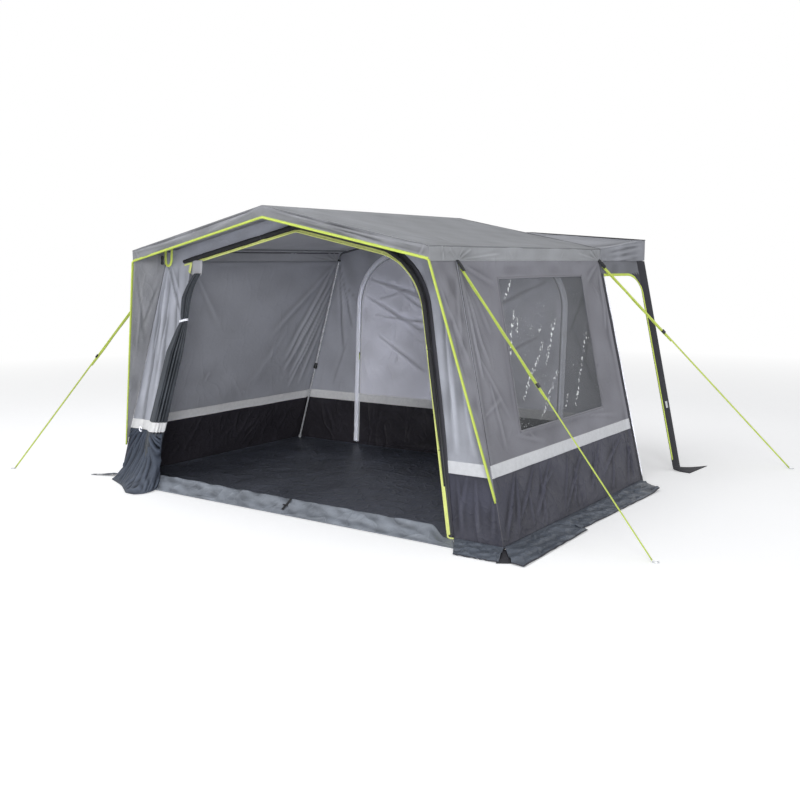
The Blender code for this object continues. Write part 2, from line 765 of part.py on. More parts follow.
def build_flaps(collection, finishes):
    skirt = finishes["skirt cloth"]
    base = HALF_GROUND + EDGE_GAP
    outer = HALF_GROUND + FLAP_WIDTH
    side_outline = [
        (base, FRONT_Y),
        (outer, FRONT_Y - FLAP_WIDTH + FLAP_CORNER_GAP),
        (outer, REAR_Y - FLAP_WIDTH),
        (base, REAR_Y - EDGE_GAP),
    ]
    for word, side in SIDES.items():
        outline = [(side * x, y) for x, y in side_outline]
        cloth_panel("mud_flap_" + word, collection, skirt, outline, on_ground)
    inner = DOOR_FOOT_WIDTH / 2 + DOOR_TO_FLAP
    lip = FRONT_Y - EDGE_GAP
    right_outline = [
        (inner, lip),
        (inner + FLAP_END_TAPER, FRONT_Y - FLAP_WIDTH),
        (HALF_GROUND + FLAP_END_TAPER, FRONT_Y - FLAP_WIDTH),
        (HALF_GROUND - EDGE_GAP, lip),
    ]
    cloth_panel("mud_flap_front_right", collection, skirt, right_outline, on_ground)
    left_outline = [
        (-HALF_GROUND + EDGE_GAP, lip),
        (-HALF_GROUND + EDGE_GAP, FRONT_Y - FLAP_END_TAPER),
        (-LEFT_FLAP_INNER - FLAP_END_TAPER, FRONT_Y - LEFT_FLAP_REACH),
        (-LEFT_FLAP_INNER, FRONT_Y - LEFT_FLAP_REACH),
        (-LEFT_FLAP_INNER, FRONT_Y - SILL_REACH - EDGE_GAP),
        (-SILL_WIDTH / 2 - EDGE_GAP, FRONT_Y - SILL_REACH - EDGE_GAP),
        (-inner, lip),
    ]
    cloth_panel("mud_flap_front_left", collection, skirt, left_outline, on_ground)


# The gathered half of the door


def build_curtain(collection, finishes):
    """A bundle of folds, lofted ring by ring and closed at both ends."""
    bundle = bmesh.new()
    rings = []
    for ring in range(CURTAIN_RINGS + 1):
        height = CURTAIN_TOP + (CURTAIN_FOOT - CURTAIN_TOP) * ring / CURTAIN_RINGS
        width = along_steps(CURTAIN_HALF_WIDTHS, height)
        depth = CURTAIN_FLATNESS * width
        reach = 1 + CURTAIN_FOLD_DEPTH
        centre = front_at(curtain_across(height), height)
        centre.y -= depth + 2 * PIPING_RADIUS + EDGE_GAP
        points = []
        for step in range(CURTAIN_POINTS):
            angle = math.tau * step / CURTAIN_POINTS
            turn = CURTAIN_TWIST * ring / CURTAIN_RINGS
            fold = 1 + CURTAIN_FOLD_DEPTH * math.cos(CURTAIN_FOLDS * angle + turn)
            points.append(bundle.verts.new((
                centre.x + width / reach * fold * math.cos(angle),
                centre.y + depth / reach * fold * math.sin(angle),
                height,
            )))
        rings.append(points)
    for above, below in zip(rings, rings[1:]):
        for step in range(CURTAIN_POINTS):
            after = (step + 1) % CURTAIN_POINTS
            bundle.faces.new((above[step], below[step], below[after], above[after]))
    bundle.faces.new(rings[0])
    bundle.faces.new(list(reversed(rings[-1])))
    mesh = bpy.data.meshes.new("door_curtain")
    bundle.to_mesh(mesh)
    bundle.free()
    mesh.shade_smooth()
    piece = add_object("door_curtain", mesh, finishes["door cloth"], collection)
    settle(piece, front_at(curtain_across(CURTAIN_TIE), CURTAIN_TIE))


# Frame


def leg_axis(side, front):
    """Foot and unit direction of a corner leg, parallel to its corner's seam."""
    inwards = 1 if front else -1
    start_y = (FRONT_Y if front else REAR_Y) + inwards * LEG_INSET
    run = FRONT_SET_BACK if front else REAR_LEAN_OUT
    foot = Vector((side * (HALF_GROUND - LEG_INSET), start_y, 0))
    top = Vector((side * (HALF_TOP - LEG_INSET), start_y + run, WALL_TOP))
    return foot, (top - foot).normalized()


def leg_top_reach(side, front):
    foot, direction = leg_axis(side, front)
    return (WALL_TOP - LEG_TOP_DROP) / direction.z


def build_legs(collection, finishes):
    for end, front in (("front", True), ("rear", False)):
        for word, side in SIDES.items():
            foot, direction = leg_axis(side, front)
            turn = direction.to_track_quat("Z", "Y").to_matrix().to_4x4()
            tilt = math.acos(direction.z)
            lift = CLOTH + EDGE_GAP / 2 + LEG_FOOT_RADIUS * math.sin(tilt)
            base = foot + Vector((0, 0, lift))
            label = end + "_" + word
            top = leg_top_reach(side, front)
            turned("leg_sleeve_" + label, collection, finishes["steel"],
                   [(LEG_OUTER_RADIUS, top), (LEG_OUTER_RADIUS, LEG_SLEEVE_START),
                    (LEG_BORE_RADIUS, LEG_SLEEVE_START), (LEG_BORE_RADIUS, top)],
                   Matrix.Translation(base) @ turn, closed=True)
            turned("leg_" + label, collection, finishes["steel"],
                   [(0, LEG_FOOT_HEIGHT), (LEG_INNER_BORE, LEG_FOOT_HEIGHT),
                    (LEG_INNER_BORE, LEG_INNER_LENGTH), (LEG_INNER_RADIUS, LEG_INNER_LENGTH),
                    (LEG_INNER_RADIUS, LEG_FOOT_HEIGHT), (LEG_FOOT_RADIUS, LEG_FOOT_HEIGHT * 0.8),
                    (LEG_FOOT_RADIUS, LEG_FOOT_RADIUS * 0.3), (LEG_FOOT_RADIUS * 0.7, 0), (0, 0)],
                   Matrix.Translation(base) @ turn)


def pole_depth():
    """Middle of a ridge or eave pole, square below the roof's outer face."""
    return CLOTH + POLE_COVER + POLE_RADIUS


def build_gable_poles(collection, finishes):
    """Bent poles that plug into the legs and run under the ridge and eave poles."""
    depth = pole_depth() + POLE_RADIUS + GAP + GABLE_POLE_RADIUS
    for end, front in (("front", True), ("rear", False)):
        half = []
        for side in (1, -1):
            foot, direction = leg_axis(side, front)
            tilt = math.acos(direction.z)
            foot = foot + Vector((0, 0, CLOTH + EDGE_GAP / 2 + LEG_FOOT_RADIUS * math.sin(tilt)))
            rate = -abs(direction.x / direction.z)
            start = abs(foot.x) - rate * foot.z
            height = (RIDGE_HEIGHT - depth * ROOF_STRETCH - ROOF_SLOPE * start) / (1 + ROOF_SLOPE * rate)
            bend = foot + direction * ((height - foot.z) / direction.z)
            spigot = foot + direction * (leg_top_reach(side, front) - SPIGOT_DEPTH)
            half.append((spigot, bend))
        (right_spigot, right_bend), (left_spigot, left_bend) = half
        lean = FRONT_LEAN if front else REAR_LEAN
        crest = below_roof(0, depth)
        peak = Vector((0, right_bend.y + lean * (crest - right_bend.z), crest))
        path = rounded_path([right_spigot, right_bend, peak, left_bend, left_spigot], POLE_BEND)
        tube("gable_pole_" + end, collection, finishes["glass fibre"], path, GABLE_POLE_RADIUS)


def build_long_poles(collection, finishes):
    start = CANOPY_Y + CLOTH + EDGE_GAP
    end = ROOF_BACK_Y - POLE_END_GAP
    depth = pole_depth()
    edge = HALF_TOP - EAVE_POLE_INSET
    for name, across in (("ridge_pole", 0.0), ("eave_pole_right", edge), ("eave_pole_left", -edge)):
        height = below_roof(across, depth)
        tube(name, collection, finishes["glass fibre"],
             [Vector((across, start, height)), Vector((across, end, height))], POLE_RADIUS)


# Guys


def guy_ends(label):
    """Seam end, ring centre, and the way the cloth beside the seam faces."""
    end, word = label.split("_")
    side = SIDES[word]
    wall = front_at if end == "front" else rear_at
    anchor = wall(side * HALF_TOP, WALL_TOP)
    below = wall(side * HALF_GROUND, 0)
    behind = anchor + Vector((0, ROOM_DEPTH, 0)) if end == "front" else tunnel_side_at(side)(1, WALL_TOP)
    facing = (below - anchor).cross(behind - anchor).normalized() * side
    outwards, back = GUY_RUNS[label]
    return anchor, Vector((anchor.x + side * outwards, anchor.y + back, RING_WIRE)), facing


def ring_near_side(anchor, foot):
    """Where the webbing ends, on the ring's side nearest to the awning."""
    towards = anchor - foot
    towards.z = 0
    return foot + towards.normalized() * (RING_RADIUS + RING_WIRE)


def build_guy_strap(label, collection, material, length, matrix):
    """Webbing that comes to a point at the seam it is sewn into."""
    half = STRAP_WIDTH / 2
    end = length - EDGE_GAP
    outline = [(STRAP_TIP / 2, STRAP_START), (half, STRAP_TAPER), (half, end)]
    outline += [(-u, v) for u, v in reversed(outline)]
    plate("guy_strap_" + label, collection, material, [outline], STRAP_THICKNESS, matrix)


def build_guy_buckle(label, collection, material, matrix):
    """A slotted plate on top of the webbing."""
    width, length, depth = BUCKLE_SIZE
    slot_width, slot_height = BUCKLE_SLOT
    side = [(BUCKLE_TIP / 2, 0.0), (width / 2, BUCKLE_SHOULDER), (width / 2, length - BUCKLE_CORNER),
            (width / 2 - BUCKLE_CORNER, length)]
    outline = side + [(-u, v) for u, v in reversed(side)]
    slots = [[(u, v + middle) for u, v in rounded_box(slot_width, slot_height, slot_height / 4)]
             for middle in BUCKLE_SLOT_PLACES]
    lift = STRAP_THICKNESS / 2 + GAP + depth / 2
    place = matrix @ Matrix.Translation((0, BUCKLE_START, lift))
    plate("guy_buckle_" + label, collection, material, [outline, *slots], depth, place)


def build_guys(collection, finishes):
    for label in GUY_RUNS:
        anchor, ring, facing = guy_ends(label)
        end = ring_near_side(anchor, ring) + Vector((0, 0, 2 * RING_WIRE))
        along = (end - anchor).normalized()
        flat = along.cross(facing).normalized()
        over = flat.cross(along)
        length = (end - anchor).length
        strap = frame_of(flat, along, over, anchor)
        build_guy_strap(label, collection, finishes["lime webbing"], length, strap)
        build_guy_buckle(label, collection, finishes["black plastic"], strap)

        width, depth, reach = TENSIONER_SIZE
        clear = 2 * TENSIONER_CLEARANCE
        slot = rounded_box(STRAP_WIDTH + clear, STRAP_THICKNESS + clear, TENSIONER_CLEARANCE / 2, steps=1)
        plate("guy_tensioner_" + label, collection, finishes["black plastic"],
              [rounded_box(width, depth, TENSIONER_CORNER), slot], reach,
              frame_of(flat, -over, along, anchor + along * TENSIONER_REACH[label]))

        circle = [(RING_RADIUS + RING_WIRE * math.cos(angle), RING_WIRE * math.sin(angle))
                  for angle in (-math.tau * step / 8 for step in range(8))]
        turned("guy_ring_" + label, collection, finishes["steel"], circle,
               Matrix.Translation(ring), steps=20, closed=True)


def main():
    for piece in list(bpy.data.objects):
        bpy.data.objects.remove(piece)
    collection = bpy.data.collections.new("campervan_awning")
    bpy.context.scene.collection.children.link(collection)
    finishes = make_finishes()
    for build in (
        build_roof, build_fascia, build_wings, build_canopy_piping,
        build_front_wall, build_door_piping, build_mesh_roll, build_side_walls,
        build_rear_wall, build_rear_binding, build_zip,
        build_tunnel_roof, build_tunnel_sides, build_vehicle_strips, build_beading,
        build_ground, build_sill, build_flaps, build_curtain,
        build_legs, build_gable_poles, build_long_poles, build_guys,
    ):
        build(collection, finishes)


main()
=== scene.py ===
import math
import random

import bmesh
import bpy
import numpy as np
from mathutils import Matrix, Vector


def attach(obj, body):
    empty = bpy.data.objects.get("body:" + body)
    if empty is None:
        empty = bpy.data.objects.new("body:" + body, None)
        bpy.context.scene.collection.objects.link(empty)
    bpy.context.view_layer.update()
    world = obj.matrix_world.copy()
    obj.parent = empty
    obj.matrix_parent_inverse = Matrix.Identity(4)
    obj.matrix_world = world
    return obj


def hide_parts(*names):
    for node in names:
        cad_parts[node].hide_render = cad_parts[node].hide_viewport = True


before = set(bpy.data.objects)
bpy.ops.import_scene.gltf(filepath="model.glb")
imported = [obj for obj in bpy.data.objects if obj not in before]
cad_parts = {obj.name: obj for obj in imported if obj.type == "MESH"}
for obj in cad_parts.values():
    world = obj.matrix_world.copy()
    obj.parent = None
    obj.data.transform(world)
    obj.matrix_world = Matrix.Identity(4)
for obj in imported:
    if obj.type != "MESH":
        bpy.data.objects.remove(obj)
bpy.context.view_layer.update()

print("awning: frame loaded with", len(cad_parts), "nodes")

# the awning's main sizes in metres, as the frame has them
halfGround, halfTop = 1.95, 1.46
eaveHeight, ridgeHeight, hemHeight = 1.99, 2.3, 1.885
frontY, rearY, vehicleY = -1.49, 0.91, 1.61
canopyY, roofBackY = -1.65, 1.055
frontLean, rearLean, sideLean = 0.19 / hemHeight, 0.115 / hemHeight, 0.49 / hemHeight
roofSlope = (ridgeHeight - eaveHeight) / halfTop
roofStretch = math.hypot(1, roofSlope)
rafter = halfTop * roofStretch
stripLow, stripHigh = 0.451, 0.537
tunnelFoot, tunnelTop, tunnelDepth = 2.055, 1.65, 0.7  # half widths at the vehicle, and the tunnel's length
onGround = 0.003
sides = {"right": 1, "left": -1}


# Paint: small helpers for shader nodes

def operator(operation, flip=False):
    return lambda value, other=0.0: value.maths(operation, other, flip)


class Value:  # a socket that can stand in a sum
    def __init__(self, paint, node, output=0):
        self.paint, self.node = paint, node
        self.socket = node.outputs[output] if node.outputs else None

    def out(self, output):
        return Value(self.paint, self.node, output)

    def maths(self, operation, other=0.0, flip=False):
        ends = (other, self) if flip else (self, other)
        return self.paint.add("Math", {"operation": operation}, {0: ends[0], 1: ends[1]})

    def wave(self, length):
        return (self * (math.tau / length)).maths("SINE")

    __add__ = __radd__ = operator("ADD")
    __mul__ = __rmul__ = operator("MULTIPLY")
    __sub__, __rsub__ = operator("SUBTRACT"), operator("SUBTRACT", True)
    __mod__, __pow__ = operator("FLOORED_MODULO"), operator("POWER")
    __lt__, __gt__ = operator("LESS_THAN"), operator("GREATER_THAN")
    __abs__ = operator("ABSOLUTE")


def tint(shade, share=1.0, extra=0):  # a colour as the render should show it, 0 to 255
    levels = [min(255, level * share + extra) / 255 for level in shade]
    return (*[level / 12.92 if level <= 0.04045 else ((level + 0.055) / 1.055) ** 2.4 for level in levels], 1.0)


class Paint:  # the node tree of one material, or of the world
    def __init__(self, name, owner=None):
        self.owner = owner or bpy.data.materials.new(name)
        self.owner.use_nodes = True
        self.tree = self.owner.node_tree
        self.tree.nodes.clear()

    def add(self, kind, settings=None, values=None, output=0):
        node = self.tree.nodes.new("ShaderNode" + kind)
        for key, value in (settings or {}).items():
            setattr(node, key, value)
        for key, value in (values or {}).items():
            if isinstance(value, Value):
                self.tree.links.new(value.socket, node.inputs[key])
            else:
                node.inputs[key].default_value = value
        return Value(self, node, output)

    def mix(self, share, first, second):
        return self.add("Mix", {"data_type": "RGBA"}, {0: share, 6: first, 7: second}, 2)

    def limit(self, value, low, high):  # 0 at low, 1 at high
        return self.add("MapRange", {"clamp": True}, {0: value, 1: low, 2: high})

    def place(self):
        return self.add("TexCoord", output="Object")

    def split(self, vector):
        parts = self.add("SeparateXYZ", None, {0: vector})
        return parts, parts.out(1), parts.out(2)

    def weave(self):  # metres along the cloth's own weave, as a vector and in two parts
        cut = self.add("UVMap", {"uv_map": "cut"})
        return cut, *self.split(cut)[:2]

    def stretch(self, vector, scale):
        return self.add("Mapping", None, {"Vector": vector, "Scale": scale})

    def noise(self, vector, scale, detail=3.0, rough=0.5):
        return self.add("TexNoise", None,
                        {"Vector": vector, "Scale": scale, "Detail": detail, "Roughness": rough})

    def bump(self, height, distance, strength=1.0):
        return self.add("Bump", None, {"Height": height, "Distance": distance, "Strength": strength})

    def ridges(self, vector, scale, sharpness):  # thin raised lines where the noise passes its middle
        return (1 - abs(self.noise(vector, scale, 1.5, 0.45) * 2.0 - 1.0)) ** sharpness

    def finish(self, through=None, **sockets):  # through: share and colour of the light that comes from behind
        names = {"colour": "Base Color", "rough": "Roughness", "metal": "Metallic", "normal": "Normal",
                 "alpha": "Alpha", "coat": "Coat Weight", "ior": "IOR", "shine": "Specular IOR Level"}
        values = {names[key]: value for key, value in sockets.items()}
        shader = self.add("BsdfPrincipled", None, values)
        if through:
            share, colour = through
            glow = self.add("BsdfTranslucent", None, {"Color": colour, "Normal": sockets["normal"]})
            shader = self.add("MixShader", None, {0: share, 1: shader, 2: glow})
        self.add("OutputMaterial", None, {0: shader})
        return self.owner


# each cloth's colour, the depth of its crumples in metres, and what differs from the basis: light let through,
# thread pitch in metres, gloss, how patchy and dusty it is, how strongly painted shade darkens its fold hollows
# and painted highlight lightens its crests, and whether it is seen from behind, so that its crests are hollows
clothBasis = {"thin": 0.0, "pitch": 0.0016, "rough": 0.62, "patchy": 0.06, "dusty": 0.0, "deep": 0.26,
              "shine": 0.35, "behind": False}
clothLooks = {
    "roofCloth": ((131, 133, 137), 0.0026, {"thin": 0.26, "deep": 0.48}),
    # the hem is the roof cloth painted lighter: painted light on its upright face
    "hemCloth": ((162, 164, 168), 0.004, {"thin": 0.22, "deep": 0.44}),
    "roofInside": ((142, 143, 147), 0.0022, {"thin": 0.38, "rough": 0.66, "patchy": 0.05, "behind": True}),
    "fasciaCloth": ((142, 143, 148), 0.004, {"thin": 0.34, "patchy": 0.08, "deep": 0.58}),
    "tunnelCloth": ((142, 144, 151), 0.004, {"thin": 0.1, "patchy": 0.08, "deep": 0.4}),
    "headerCloth": ((114, 116, 123), 0.003, {"patchy": 0.08}),
    "wallCloth": ((134, 134, 142), 0.0046, {"thin": 0.16, "deep": 0.3}),
    # wallInside, rearInside, doorInside and wingInside are inner faces painted lighter than the wall cloth's
    # outside: painted light added to the light let through, more on the rear wall, which gets less light, and
    # most on the rear door, lit from behind
    "wallInside": ((149, 151, 157), 0.0034, {"thin": 0.4, "rough": 0.66, "patchy": 0.05, "behind": True}),
    "rearInside": ((168, 170, 177), 0.0034, {"thin": 0.44, "rough": 0.66, "patchy": 0.05}),
    # panelCloth is the wall cloth painted lighter for the front wall: painted light in the canopy's shade
    "panelCloth": ((174, 177, 187), 0.0046, {"thin": 0.16, "rough": 0.6, "deep": 0.4}),
    "doorInside": ((214, 215, 222), 0.0046, {"thin": 0.56, "deep": 0.24}),
    "wingInside": ((153, 154, 158), 0.0046, {"thin": 0.16, "rough": 0.66, "patchy": 0.08, "behind": True}),
    "wallLower": ((66, 67, 80), 0.007, {"pitch": 0.0018, "rough": 0.46, "patchy": 0.11, "dusty": 0.1,
                                        "deep": 0.5}),
    "wallLowerInside": ((50, 48, 54), 0.008, {"pitch": 0.0018, "rough": 0.5, "patchy": 0.09, "behind": True}),
    "doorCloth": ((62, 66, 72), 0.0065, {"pitch": 0.0015, "rough": 0.44, "patchy": 0.16, "deep": 0.66}),
    "groundCloth": ((72, 76, 87), 0.008, {"pitch": 0.003, "rough": 0.36, "patchy": 0.15, "dusty": 0.06}),
    "skirtCloth": ((86, 94, 107), 0.0075, {"pitch": 0.0022, "rough": 0.42, "patchy": 0.15, "dusty": 0.12}),
    "sillFabric": ((134, 140, 150), 0.0085, {"pitch": 0.0022, "rough": 0.45, "patchy": 0.14, "deep": 0.42}),
    "footCloth": ((75, 82, 95), 0.007, {"shine": 0.16, "pitch": 0.0018, "rough": 0.55, "patchy": 0.15,
                                        "dusty": 0.06, "deep": 0.72}),
    "stripCloth": ((50, 50, 56), 0.002, {"pitch": 0.0018, "rough": 0.7}),
    "tabCloth": ((182, 183, 189), 0.002, {"pitch": 0.0014, "rough": 0.6, "patchy": 0.05}),
    "paleBinding": ((228, 229, 233), 0.001, {"thin": 0.45, "pitch": 0.0014, "rough": 0.6, "patchy": 0.04}),
    "darkTape": ((58, 58, 65), 0.0016, {"pitch": 0.0014}),
    "greyTape": ((112, 112, 118), 0.001, {"pitch": 0.0014, "patchy": 0.05}),
    "seamTape": ((92, 92, 98), 0.0016, {"pitch": 0.0014, "patchy": 0.12}),
    "roofTape": ((134, 136, 140), 0.001, {"pitch": 0.0014, "patchy": 0.05}),
}


def clothPaint(name, colour, crumples, changes):
    paint, look = Paint(name), {**clothBasis, **changes}
    cut, across, along = paint.weave()
    place = paint.place()
    threads = across.wave(look["pitch"]) * along.wave(look["pitch"])
    weft, warp = (paint.noise(paint.stretch(cut, scale), 1.0, 2.0) for scale in ((35, 700, 1), (700, 35, 1)))
    slub = weft + warp
    cloud = paint.noise(place, 1.9, 4.0, 0.55)
    grain = paint.noise(place, 46.0, 3.0, 0.6)
    crumple = paint.noise(place, 8.5, 3.0, 0.55)
    thin = look["thin"]
    dark, light = ([level / (1 - thin) for level in tint(colour, share)[:3]] + [1.0]
                   for share in (1 - 1.6 * look["patchy"], 1 + 1.3 * look["patchy"]))
    shade = paint.mix(paint.limit(cloud * 0.72 + slub * 0.1 + grain * 0.12, 0.3, 0.74), dark, light)
    if look["dusty"]:
        low = paint.limit(paint.split(place)[2], 0.3, 0.0)
        soil = low * paint.limit(grain * 0.5 + cloud * 0.5, 0.38, 0.62) * look["dusty"]
        shade = paint.mix(soil, shade, tint((150, 146, 138)))
    # painted shade and painted highlight: the fold attribute darkens the cloth in the hollows of its creases
    # and lightens it on their crests
    fold = paint.add("Attribute", {"attribute_name": "fold"}, output="Fac")
    crest, deep = -1.0 if look["behind"] else 1.0, look["deep"]
    wearAndFoldShade = 1.0 - paint.limit(fold, 0.0, -crest) * deep + paint.limit(fold, 0.0, crest) * (deep * 0.45)
    shade = paint.add("VectorMath", {"operation": "SCALE"}, {0: shade, "Scale": wearAndFoldShade})
    fine = paint.bump(threads * 0.35 + slub * 0.9, 0.00035, 0.8)
    lines = paint.ridges(paint.stretch(place, (1, 1, 0.55)), 3.4, 14.0) * 0.9
    lines = lines + paint.ridges(place, 9.0, 9.0) * 0.35
    folds = paint.add("Bump", None, {"Height": crumple * 0.8 + lines, "Distance": crumples,
                                               "Strength": 0.9, "Normal": fine})
    rough = paint.limit(cloud + grain, 0.6, 1.4) * 0.12 + (look["rough"] - 0.06)
    through = (thin, paint.mix(0.6, shade, (0.86, 0.87, 0.92, 1.0))) if thin else None
    return paint.finish(through, colour=shade, rough=rough, normal=folds, shine=look["shine"])


def tapePaint(name, shade, ribs, rough, stitchAt=0.0, width=0.0):  # webbing and tape, stitched near both edges
    paint = Paint(name)
    _, across, along = paint.weave()
    rib = along.wave(ribs) * 0.5 + 0.5
    twill = (along + across).wave(ribs * 2.5) * 0.5 + 0.5
    grain = paint.noise(paint.place(), 30.0)
    uneven = paint.limit(rib * 0.22 + twill * 0.16 + grain * 0.62, 0.2, 0.8)
    colour = paint.mix(uneven, tint(shade, 0.93), tint(shade, 1.05))
    height = rib * 0.6 + twill * 0.4
    if stitchAt:
        near = abs(abs(across - width / 2) - (width / 2 - stitchAt)) < 0.0007
        stitch = near * ((along % 0.0042) < 0.0028)
        colour = paint.mix(stitch * 0.8, colour, tint(shade, 1.18, 14))
        height = height - near * 0.8 + stitch * 1.5
    return paint.finish(colour=colour, rough=rib * 0.08 + (rough - 0.04), shine=0.4,
                        normal=paint.bump(height, 0.0004, 0.7))


# painted highlights: bright broken glint lines along the film's crinkles, from and to, as along the wall and
# height, and how wide they wander
filmStreaks = [
    (-0.614, 1.75, -0.761, 1.602, 0.016), (-0.662, 1.522, -0.869, 1.212, 0.022),
    (-0.604, 1.498, -0.616, 1.422, 0.01), (-0.297, 1.279, -0.806, 0.908, 0.02),
    (-0.041, 1.437, -0.337, 1.113, 0.018), (-0.167, 1.052, -0.607, 0.731, 0.018),
    (0.416, 1.243, -0.01, 0.745, 0.017), (-0.082, 0.87, -0.222, 0.749, 0.012), (-0.64, 1.47, -0.7, 1.36, 0.026),
    (-0.44, 1.405, -0.48, 1.365, 0.02), (-0.3, 1.4, -0.35, 1.36, 0.022), (-0.11, 1.42, -0.14, 1.37, 0.018),
    (0.46, 1.3, 0.43, 1.24, 0.014),
]


def streaksOn(paint, along, up, wander):
    total = 0.0
    for y0, z0, y1, z1, width in filmStreaks:
        length = math.hypot(y1 - y0, z1 - z0)
        dy, dz = (y1 - y0) / length, (z1 - z0) / length
        run = along * dy + (up * dz - (y0 * dy + z0 * dz))
        off = abs(up * dy - along * dz + (y0 * dz - z0 * dy) + wander * 0.08)
        ends = paint.limit(run, -0.02, 0.03) * paint.limit(run, length + 0.02, length - 0.03)
        total = (off < width * 0.62) * ends + total
    return total


def filmPaint(name):  # clear window film with painted highlights: glints on its crinkles and on raindrops
    paint = Paint(name)
    cut, along, up = paint.weave()
    wander = paint.noise(cut, 9.0, 2.0) - 0.5
    beads = paint.limit(paint.noise(paint.stretch(cut, (1.0, 0.6, 1.0)), 52.0, 2.0, 0.6), 0.52, 0.57)
    dropGlints = paint.limit(paint.noise(cut, 80.0, 1.0, 0.4), 0.7, 0.72)
    dropGlints = dropGlints * paint.limit(paint.noise(cut, 2.6, 1.0), 0.5, 0.6)
    # painted highlight: the glint streaks and drop glints turn the film near white and less clear
    spots = paint.limit(streaksOn(paint, along, up, wander) * beads + dropGlints * 0.7, 0.0, 0.9)
    haze = paint.noise(paint.place(), 3.0)
    colour = paint.mix(spots, paint.mix(haze, tint((62, 65, 68)), tint((88, 92, 96))), tint((242, 245, 247)))
    normal = paint.bump(paint.noise(cut, 7.0, 2.0) + spots * 0.3, 0.004, 0.6)
    return paint.finish(colour=colour, rough=spots * 0.3 + haze * 0.1 + 0.1, normal=normal, ior=1.45,
                        shine=0.35, alpha=spots * 0.64 + haze * 0.08 + 0.3)


def plasticPaint(name, shade):
    paint = Paint(name)
    place = paint.place()
    grain = paint.noise(place, 260.0)
    worn = paint.limit(paint.noise(place, 38.0, 4.0, 0.6), 0.52, 0.72)
    return paint.finish(colour=paint.mix(worn * 0.35, tint(shade), tint(shade, 1.25, 18)),
                        rough=grain * 0.12 + worn * 0.12 + 0.34, normal=paint.bump(grain, 0.0003, 0.5))


def steelPaint(name):
    paint = Paint(name)
    place = paint.place()
    lines = paint.noise(paint.stretch(place, (90, 90, 2)), 6.0)
    wearAndFoldShade = paint.limit(paint.noise(place, 14.0, 4.0, 0.6), 0.5, 0.75)
    colour = paint.mix(wearAndFoldShade * 0.5 + lines * 0.2, tint((226, 228, 232)), tint((184, 186, 191)))
    return paint.finish(colour=colour, metal=0.55, rough=lines * 0.14 + wearAndFoldShade * 0.12 + 0.2,
                        normal=paint.bump(lines, 0.0002, 0.4))


def rodPaint(name):  # glass fibre with its wound strands
    paint = Paint(name)
    strands = paint.noise(paint.stretch(paint.place(), (160, 160, 160)), 2.0, 2.0)
    return paint.finish(colour=paint.mix(strands, tint((84, 86, 91)), tint((112, 114, 120))),
                        rough=strands * 0.14 + 0.34, normal=paint.bump(strands, 0.0003, 0.4), coat=0.15)


def netPaint(name):  # fine insect mesh, rolled up
    paint = Paint(name)
    _, across, along = paint.weave()
    holes = abs(across.wave(0.004)) * abs(along.wave(0.004))
    cloud = paint.noise(paint.place(), 16.0)
    colour = paint.mix(paint.limit(holes * 0.7 + cloud * 0.5, 0.2, 0.9), tint((44, 45, 49)), tint((22, 22, 25)))
    return paint.finish(colour=colour, rough=cloud * 0.15 + 0.62,
                        normal=paint.bump(holes * -1.0 + cloud * 0.5, 0.0007, 0.6))


def zipPaint(name, tapeShade, toothShade):  # zip tape with its teeth down the middle
    paint = Paint(name)
    _, across, along = paint.weave()
    middle = abs(across - 0.012)
    teeth = ((along % 0.0036) < 0.0022) * (middle < 0.0034)
    grain = paint.noise(paint.place(), 60.0, 2.0)
    tape = paint.mix(grain, tint(tapeShade), tint(tapeShade, 1, 15))
    return paint.finish(colour=paint.mix(teeth * 0.8 + (middle > 0.0098) * 0.15, tape, tint(toothShade)),
                        rough=teeth * -0.15 + grain * 0.1 + 0.55,
                        normal=paint.bump(teeth + grain * 0.1, 0.0008, 0.8))


# webbings and tapes: colour, ribs in metres, gloss, and for stitched ones how far in and how wide they are
tapeLooks = {
    # doorLime is a paler, brighter copy of the lime piping for the doorway: painted light where the canopy
    # shades it, and a painted sheen
    "limePiping": ((209, 227, 104), 0.0022, 0.55), "doorLime": ((236, 246, 150), 0.0022, 0.55),
    "limeWebbing": ((207, 225, 106), 0.0024, 0.6, 0.0022, 0.018),
    "blackWebbing": ((30, 31, 35), 0.0022, 0.62, 0.0025, 0.02),
    "reflectiveTape": ((218, 220, 225), 0.002, 0.42, 0.004, 0.086),
    # a whiter copy of the reflective tape: painted light for strips in dim places
    "stripPaintedLight": ((243, 244, 248), 0.002, 0.5, 0.004, 0.086),
    "weltTape": ((132, 132, 139), 0.002, 0.6, 0.003, 0.014),
}
paints = {name: clothPaint(name, *look) for name, look in clothLooks.items()}
paints.update({name: tapePaint(name, *look) for name, look in tapeLooks.items()})
paints.update({
    "clearFilm": filmPaint("clearFilm"), "blackPlastic": plasticPaint("blackPlastic", (30, 31, 34)),
    "steelTube": steelPaint("steelTube"), "rodFibre": rodPaint("rodFibre"), "netCloth": netPaint("netCloth"),
    "zipTape": zipPaint("zipTape", (62, 63, 68), (98, 100, 106)),
    # a pale copy of the zip for the rear door's inside, lightened as painted light over the shadow line at the
    # door's edge
    "zipTapePale": zipPaint("zipTapePale", (206, 207, 212), (184, 185, 190)),
})
print("awning: paints mixed,", len(paints))


# Surfaces the cloth lies on, as the frame has them

def spots(*parts):
    return np.stack(np.broadcast_arrays(*parts), axis=-1).astype(float)


def halvesOf(flat):
    return flat[..., 0], flat[..., 1]


def wallAt(wallY, lean):
    return lambda across, height: spots(across, wallY + lean * height, height)


def offWall(at, lean):  # points of a wall's plane, moved out of it towards the visitor
    away = np.array((0, -1, lean)) / math.hypot(1, lean)
    return lambda line, rise: at(line[:, 0], line[:, 1]) + away * rise


